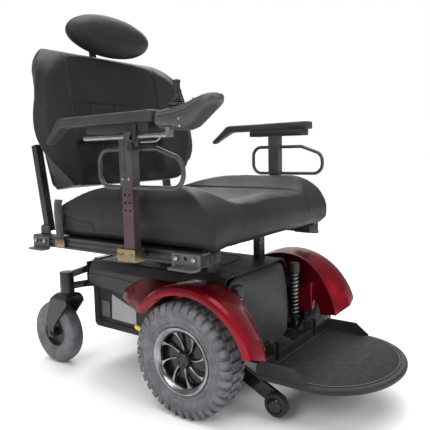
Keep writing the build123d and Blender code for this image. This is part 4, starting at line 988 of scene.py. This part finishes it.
class WHEELCHAIR_OT_armrests(bpy.types.Operator):
    """Model the arm pads, post screws and clamp bolts"""

    bl_idname = "wheelchair.armrests"
    bl_label = "Armrests"

    def execute(self, context):
        for name, side in SIDES:
            pad = stuffed(f"arm_cushion_{name}", f"arm_pad_{name}", 0.004, 0.0012, 0.0015)
            fit(pad, "pad", f"armrest_{name}", "arm_pad", f"arm_pad_{name}")
            tray = block(f"arm_tray_{name}", at(side * 403, -21, 849), at(side * 471, 218, 872.8), 0.003)
            fit(tray, "plastic", f"armrest_{name}", "post_grey")
            screws = [self.screw(side * 435.2, y, 722, side, 4.2) for y in (92, 116)]
            fit(joined(f"post_screws_{name}", screws), "brass", f"armrest_{name}", "zinc")
            bolts = [self.screw(side * 437.6, y, 502, side, 6.5) for y in (90, 128, 143)]
            fit(joined(f"clamp_bolts_{name}", bolts), "zinc", "chassis", "zinc")
        return {"FINISHED"}

    @staticmethod
    def screw(x, y, z, side, radius):
        section = [
            (0, 0), (0, radius), (1.4, radius * 0.92), (2.2, radius * 0.6), (2.2, radius * 0.4),
            (1.2, radius * 0.35), (1.2, 0),
        ]
        return lathe("screw", section, at(x, y, z), side, 20)


class WHEELCHAIR_OT_controller(bpy.types.Operator):
    """Model the joystick, its rubber boot, the clamp lever and the bent rod"""

    bl_idname = "wheelchair.controller"
    bl_label = "Hand controller"

    def execute(self, context):
        base = at(-438, -95, 0)
        up = (0, 0, 1)
        shell = sheet("controller_shell", 40, 30, self.on_shell)
        fit(shell, "pod", "controller", "pod_grey", "controller_pod")
        line = [self.on_shell(0.5 - 0.052, 0.06 + 0.9 * share) for share in np.linspace(0, 1, 15)]
        seam = tube("controller_seam", line, 0.0011)
        fit(seam, "seam", "controller", "pod_grey")
        heads = [WHEELCHAIR_OT_armrests.screw(-474.5, y, z, -1, 3.4) for y, z in ((-128, 876), (-130, 858))]
        fit(joined("controller_screws", heads), "spring", "controller", "pod_grey")
        boot = [
            (914, 0), (914, 19.5), (917, 19.5), (919, 15.5), (922, 17.5), (925, 13), (928, 14.5),
            (931, 10), (934, 10.5), (938, 6), (944, 5.2), (944, 0),
        ]
        boot = lathe("joystick_boot", boot, base, 1, 48, up, 60)
        fit(boot, "rubber", "stick", "rubber_black")
        knob = [
            (936, 0), (936, 5.6), (944, 6.4), (952, 9.4), (960, 8.6), (967, 8.8), (972, 10.4),
            (975, 9), (976.5, 5), (976.5, 0),
        ]
        knob = lathe("joystick_knob", knob, base, 1, 48, up, 60)
        fit(knob, "rubber", "stick", "rubber_black", "joystick")
        collar = [(911, 19), (911, 25), (915.5, 24.6), (917, 23), (917, 19.8)]
        collar = lathe("boot_collar", collar, base, 1, 48, up)
        fit(collar, "plastic", "controller", "pod_grey")
        rod = [
            (-470, 6, 822), (-470, -40, 822), (-468, -52, 824), (-464, -66, 842), (-460, -78, 846),
            (-452, -92, 848),
        ]
        rod = tube("bent_rod", [at(*p) for p in rod], 0.0028)
        fit(rod, "chrome", "controller", "chrome")
        clip = [(-479, 26, 872), (-479, 15, 868), (-479, 20, 826), (-479, 42, 826), (-479, 41, 834)]
        clip = plate("clamp_clip", [at(*p) for p in clip], (0.008, 0, 0), 0.0025, 3)
        fit(clip, "plastic", "armrest_right", "plastic_black")
        lever = [(-470, 10, 798), (-462, 10, 798), (-462, 46, 798), (-470, 46, 798)]
        lever = plate("clamp_lever_arm", [at(*p) for p in lever], (0, 0, 0.008), 0.002, 3)
        knob = [(796, 0), (796, 10), (799, 12), (812, 12), (816, 9), (822, 9), (822, 0)]
        knob = lathe("clamp_knob", knob, at(-466, 46, 0), 1, 24, up)
        fit(joined("clamp_lever_arm", [lever, knob]), "plastic", "clamp_lever", "plastic_black", "clamp_lever")
        return {"FINISHED"}

    stations = [
        (-44, 880, 879, 1),
        (-44, 899, 859, 30),
        (-47, 902, 857, 35),
        (-70, 905, 853, 37),
        (-100, 909, 849, 38),
        (-130, 915, 847, 38),
        (-150, 921, 853, 38),
        (-172, 928, 869, 37.5),
        (-195, 934, 887, 36),
        (-212, 936, 898, 32),
        (-224, 934, 906, 24),
        (-231, 929, 912, 14),
        (-233, 921, 920, 1),
    ]

    @classmethod
    def on_shell(cls, u, v):
        """Hand controller's case: a rounded section swept from its deep foot up to its nose."""
        position = v * (len(cls.stations) - 1)
        index = min(int(position), len(cls.stations) - 2)
        near, far = np.array(cls.stations[index : index + 2])
        y, top, bottom, half = near + (far - near) * (position - index)
        across, up = cos(2 * pi * u), sin(2 * pi * u)
        x = half * np.sign(across) * abs(across) ** 0.72
        z = (top + bottom) / 2 + (top - bottom) / 2 * np.sign(up) * abs(up) ** 0.72
        return at(-438 + x, y, z)


class WHEELCHAIR_OT_covers(bpy.types.Operator):
    """Model the battery box panels, cover seams and small trim on the base"""

    bl_idname = "wheelchair.covers"
    bl_label = "Base covers"

    def execute(self, context):
        for name, side in SIDES:
            x = side * 188.2
            panel = [(451, 281), (331, 238), (331, 184), (456, 187)]
            self.side_plate(f"side_panel_{name}", x, side, panel, 2.2, "silver_panel", "battery_case")
            hatch = [(506, 250), (465, 251), (465, 190), (508, 191)]
            self.side_plate(f"side_hatch_{name}", x, side, hatch, 3.0, "dark_panel", "battery_case")
            skirt = [
                (548, 292), (548, 160), (520, 150), (270, 150), (270, 170), (512, 172), (522, 184),
                (522, 292),
            ]
            self.side_plate(f"side_skirt_{name}", x, side, skirt, 4.0, "plastic", "plastic_black")
            seam = [
                (side * 205.6, 560, 352), (side * 205.6, 420, 352), (side * 205.6, 300, 340),
                (side * 205.6, 180, 352),
            ]
            seam = tube(f"cover_seam_{name}", [at(*p) for p in seam], 0.0011)
            fit(seam, "plastic", "chassis", "shroud_charcoal")
        hood = sheet("front_hood", 40, 36, self.on_hood, 0.003)
        fit(hood, "shroud", "chassis", "shroud_charcoal", "front_shroud")
        creases = [[(0.24, 0.5), (0.5, 0.52), (0.53, 0.47)], [(0.24, 0.5), (0.2, 0.66), (0.24, 0.9)]]
        for number, crease in enumerate(creases):
            fold = tube(f"hood_fold_{number}", [self.on_hood(u, v) for u, v in crease], 0.0016, order=2)
            fit(fold, "shroud", "chassis", "shroud_charcoal")
        lid = [(-120, 60), (120, 60), (132, 120), (132, 380), (-132, 380), (-132, 120)]
        rim = tube("lid_seam", [at(x, y, 402.3) for x, y in lid], 0.0012, True, 4)
        fit(rim, "plastic", "chassis", "shroud_charcoal")
        return {"FINISHED"}

    profile = [
        (-56, 397), (-80, 392), (-102, 378), (-120, 352), (-131, 318), (-136, 280), (-137, 235),
        (-133, 168),
    ]

    @classmethod
    def on_hood(cls, u, v):
        """Front cover: rounded in plan, rolling down from the lid's edge to the footplate."""
        position = v * (len(cls.profile) - 1)
        index = min(int(position), len(cls.profile) - 2)
        (y0, z0), (y1, z1) = cls.profile[index : index + 2]
        share = position - index
        across = 2 * u - 1
        y = -60 + (y0 + (y1 - y0) * share + 60) * (1 - abs(across) ** 2.4)
        z = z0 + (z1 - z0) * share - 26 * (1 - v) * abs(across) ** 7
        return at(176 * across, y, z)

    @staticmethod
    def side_plate(name, x, side, corners, thick, finish, slot):
        piece = plate(name, [at(x, y, z) for y, z in corners], (side * thick / 1000, 0, 0), 0.0012)
        return fit(piece, finish, "chassis", slot)


class WHEELCHAIR_OT_straps(bpy.types.Operator):
    """Model the belt straps with their plated anchors"""

    bl_idname = "wheelchair.straps"
    bl_label = "Belt straps"

    def execute(self, context):
        for name, side in SIDES:
            line = [(375, 500), (376, 530), (378.5, 560), (380, 600), (378, 630), (373.5, 645)]
            inner = [at(side * x, 466, z) for x, z in line]
            outer = [at(side * (x + 2), 466, z) for x, z in reversed(line)]
            strap = plate(f"strap_{name}", inner + outer, (0, 0.040, 0), 0.0004, 1)
            fit(strap, "webbing", "chassis", "webbing", "belt_straps")
            anchor = block(f"anchor_{name}", at(side * 371, 463, 484), at(side * 382, 511, 511), 0.002)
            stud = WHEELCHAIR_OT_armrests.screw(side * 382, 487, 498, side, 8)
            fit(joined(f"anchor_{name}", [anchor, stud]), "zinc", "chassis", "zinc")
        return {"FINISHED"}


class WHEELCHAIR_OT_footplate(bpy.types.Operator):
    """Model the foot mat with its groove line"""

    bl_idname = "wheelchair.footplate"
    bl_label = "Footplate"

    def execute(self, context):
        low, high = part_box("foot_mat")
        half = high.x * 1000 - 3
        front = (low.y - AXLE.y) * 1000 + 3
        rear = (high.y - AXLE.y) * 1000 - 3
        bend = -350
        curve = [(half * cos(a), bend + (front - bend) * sin(a)) for a in np.linspace(0, pi, 33)]
        corners = [at(x, y, 146) for x, y in curve + [(-half, rear), (half, rear)]]
        mat = plate("foot_mat_rubber", corners, (0, 0, 0.0042), 0.0008, 1)
        fit(mat, "mat", "footplate", "rubber_black", "foot_mat")
        line = [at(x * 1.008, y + (y - bend) * 0.012, 150.2) for x, y in curve]
        fit(tube("mat_groove", line, 0.0012), "brown_line", "footplate", "rubber_black")
        return {"FINISHED"}


class WHEELCHAIR_OT_seat_frame(bpy.types.Operator):
    """Model the rail end caps and the bolts of the tie-down brackets"""

    bl_idname = "wheelchair.seat_frame"
    bl_label = "Seat frame"

    def execute(self, context):
        for name, side in SIDES:
            low, high = at(side * 288, -111.5, 481), at(side * 367, -110, 509)
            caps = [block("cap", low, high, 0.0006)]
            for x in (301, 323, 345):
                caps.append(block("lug", at(side * x, -112.5, 484), at(side * (x + 14), -111, 506), 0.0006))
            fit(joined(f"rail_cap_{name}", caps), "plastic", "chassis", "plastic_black")
            bolts = [WHEELCHAIR_OT_armrests.screw(side * 380.8, y, 498, side, 7) for y in (-86, -24, 572, 620)]
            fit(joined(f"bracket_bolts_{name}", bolts), "spring", "chassis", "zinc")
        return {"FINISHED"}


class WHEELCHAIR_OT_stage(bpy.types.Operator):
    """Add the pale floor, the soft lights and the camera"""

    bl_idname = "wheelchair.stage"
    bl_label = "Stage"

    def execute(self, context):
        self.floor()
        self.lights()
        self.camera(context)
        return {"FINISHED"}

    @staticmethod
    def floor():
        bpy.ops.object.select_all(action="DESELECT")
        bpy.ops.mesh.primitive_plane_add(size=60)
        floor = bpy.context.object
        floor.name = "floor"
        finish = Finish("pale_floor", Specular_IOR_Level=0.1)
        finish.put("Base Color", (0.9, 0.9, 0.9, 1))
        finish.put("Roughness", 0.9)
        floor.data.materials.append(finish.material)
        world = bpy.data.worlds.new("studio")
        world.use_nodes = True
        bpy.context.scene.world = world
        sky = Nodes(world.node_tree)
        towards = sky.node("TexCoord", {}, {}, "Generated")
        ahead = (cos(radians(36)), sin(radians(36)), -0.05)
        share = sky.node("VectorMath", {"operation": "DOT_PRODUCT"}, {0: towards, 1: ahead}, "Value")
        values = {"Value": share, "From Min": 0.72, "From Max": 0.87, "To Min": 0.4, "To Max": 1.0}
        glow = sky.node("MapRange", {"interpolation_type": "SMOOTHSTEP"}, values)
        background = world.node_tree.nodes["Background"].inputs
        background["Color"].default_value = (1, 1, 1, 1)
        connect(world.node_tree, background["Strength"], glow)
        bpy.context.scene.view_settings.view_transform = "Standard"

    @staticmethod
    def lights():
        spots = [
            ((-3.4, -0.4, 2.4), 1.6, 60),
            ((-0.4, -3.6, 2.4), 1.6, 50),
            ((2.6, 1.6, 3.4), 2.6, 70),
            ((-0.6, 0.4, 4.2), 3.0, 50),
        ]
        for place, size, power in spots:
            softbox = bpy.data.lights.new("softbox", "AREA")
            softbox.shape = "SQUARE"
            softbox.size = size
            softbox.energy = power
            aim(softbox, place, (0, 0, 0.6))
        sun = bpy.data.lights.new("overhead", "SUN")
        sun.angle = radians(70)
        sun.energy = 2.3
        aim(sun, (0.3, 0.2, 5), (0, 0, 0))

    @staticmethod
    def camera(context):
        yaw, pitch, roll = radians(35.998), radians(6.948), radians(-1.304)
        look = Vector((cos(yaw) * cos(pitch), sin(yaw) * cos(pitch), -sin(pitch)))
        right = look.cross(Vector((0, 0, 1))).normalized()
        up = right.cross(look)
        across = right * cos(roll) + up * sin(roll)
        upward = up * cos(roll) - right * sin(roll)
        data = bpy.data.cameras.new("camera")
        data.lens = 43.83
        data.sensor_width = 36
        data.clip_start = 0.05
        camera = bpy.data.objects.new("camera", data)
        context.scene.collection.objects.link(camera)
        turn = Matrix((across, upward, -look)).transposed().to_4x4()
        camera.matrix_world = Matrix.Translation(at(-1482.0, -964.2, 793.9)) @ turn
        context.scene.camera = camera


OPERATORS = (
    WHEELCHAIR_OT_finishes,
    WHEELCHAIR_OT_seat,
    WHEELCHAIR_OT_backrest,
    WHEELCHAIR_OT_headrest,
    WHEELCHAIR_OT_drive_tyres,
    WHEELCHAIR_OT_drive_rims,
    WHEELCHAIR_OT_fenders,
    WHEELCHAIR_OT_casters,
    WHEELCHAIR_OT_armrests,
    WHEELCHAIR_OT_controller,
    WHEELCHAIR_OT_covers,
    WHEELCHAIR_OT_straps,
    WHEELCHAIR_OT_footplate,
    WHEELCHAIR_OT_seat_frame,
    WHEELCHAIR_OT_stage,
)


class WHEELCHAIR_PT_panel(bpy.types.Panel):
    """Sidebar panel with the chair's settings and its building steps"""

    bl_idname = "WHEELCHAIR_PT_panel"
    bl_label = "Wheelchair"
    bl_space_type = "VIEW_3D"
    bl_region_type = "UI"
    bl_category = "Wheelchair"

    def draw(self, context):
        settings = context.scene.wheelchair
        for name in ("upholstery", "fender", "tyre", "voxel", "lugs", "spokes"):
            self.layout.prop(settings, name)
        for step in OPERATORS:
            self.layout.operator(step.bl_idname)


def register():
    for item in (WheelchairSettings, *OPERATORS, WHEELCHAIR_PT_panel):
        bpy.utils.register_class(item)
    bpy.types.Scene.wheelchair = bpy.props.PointerProperty(type=WheelchairSettings)


def unregister():
    del bpy.types.Scene.wheelchair
    for item in reversed((WheelchairSettings, *OPERATORS, WHEELCHAIR_PT_panel)):
        bpy.utils.unregister_class(item)


def main():
    register()
    for step in OPERATORS:
        group, name = step.bl_idname.split(".")
        getattr(getattr(bpy.ops, group), name)()


if __name__ == "__main__":
    main()
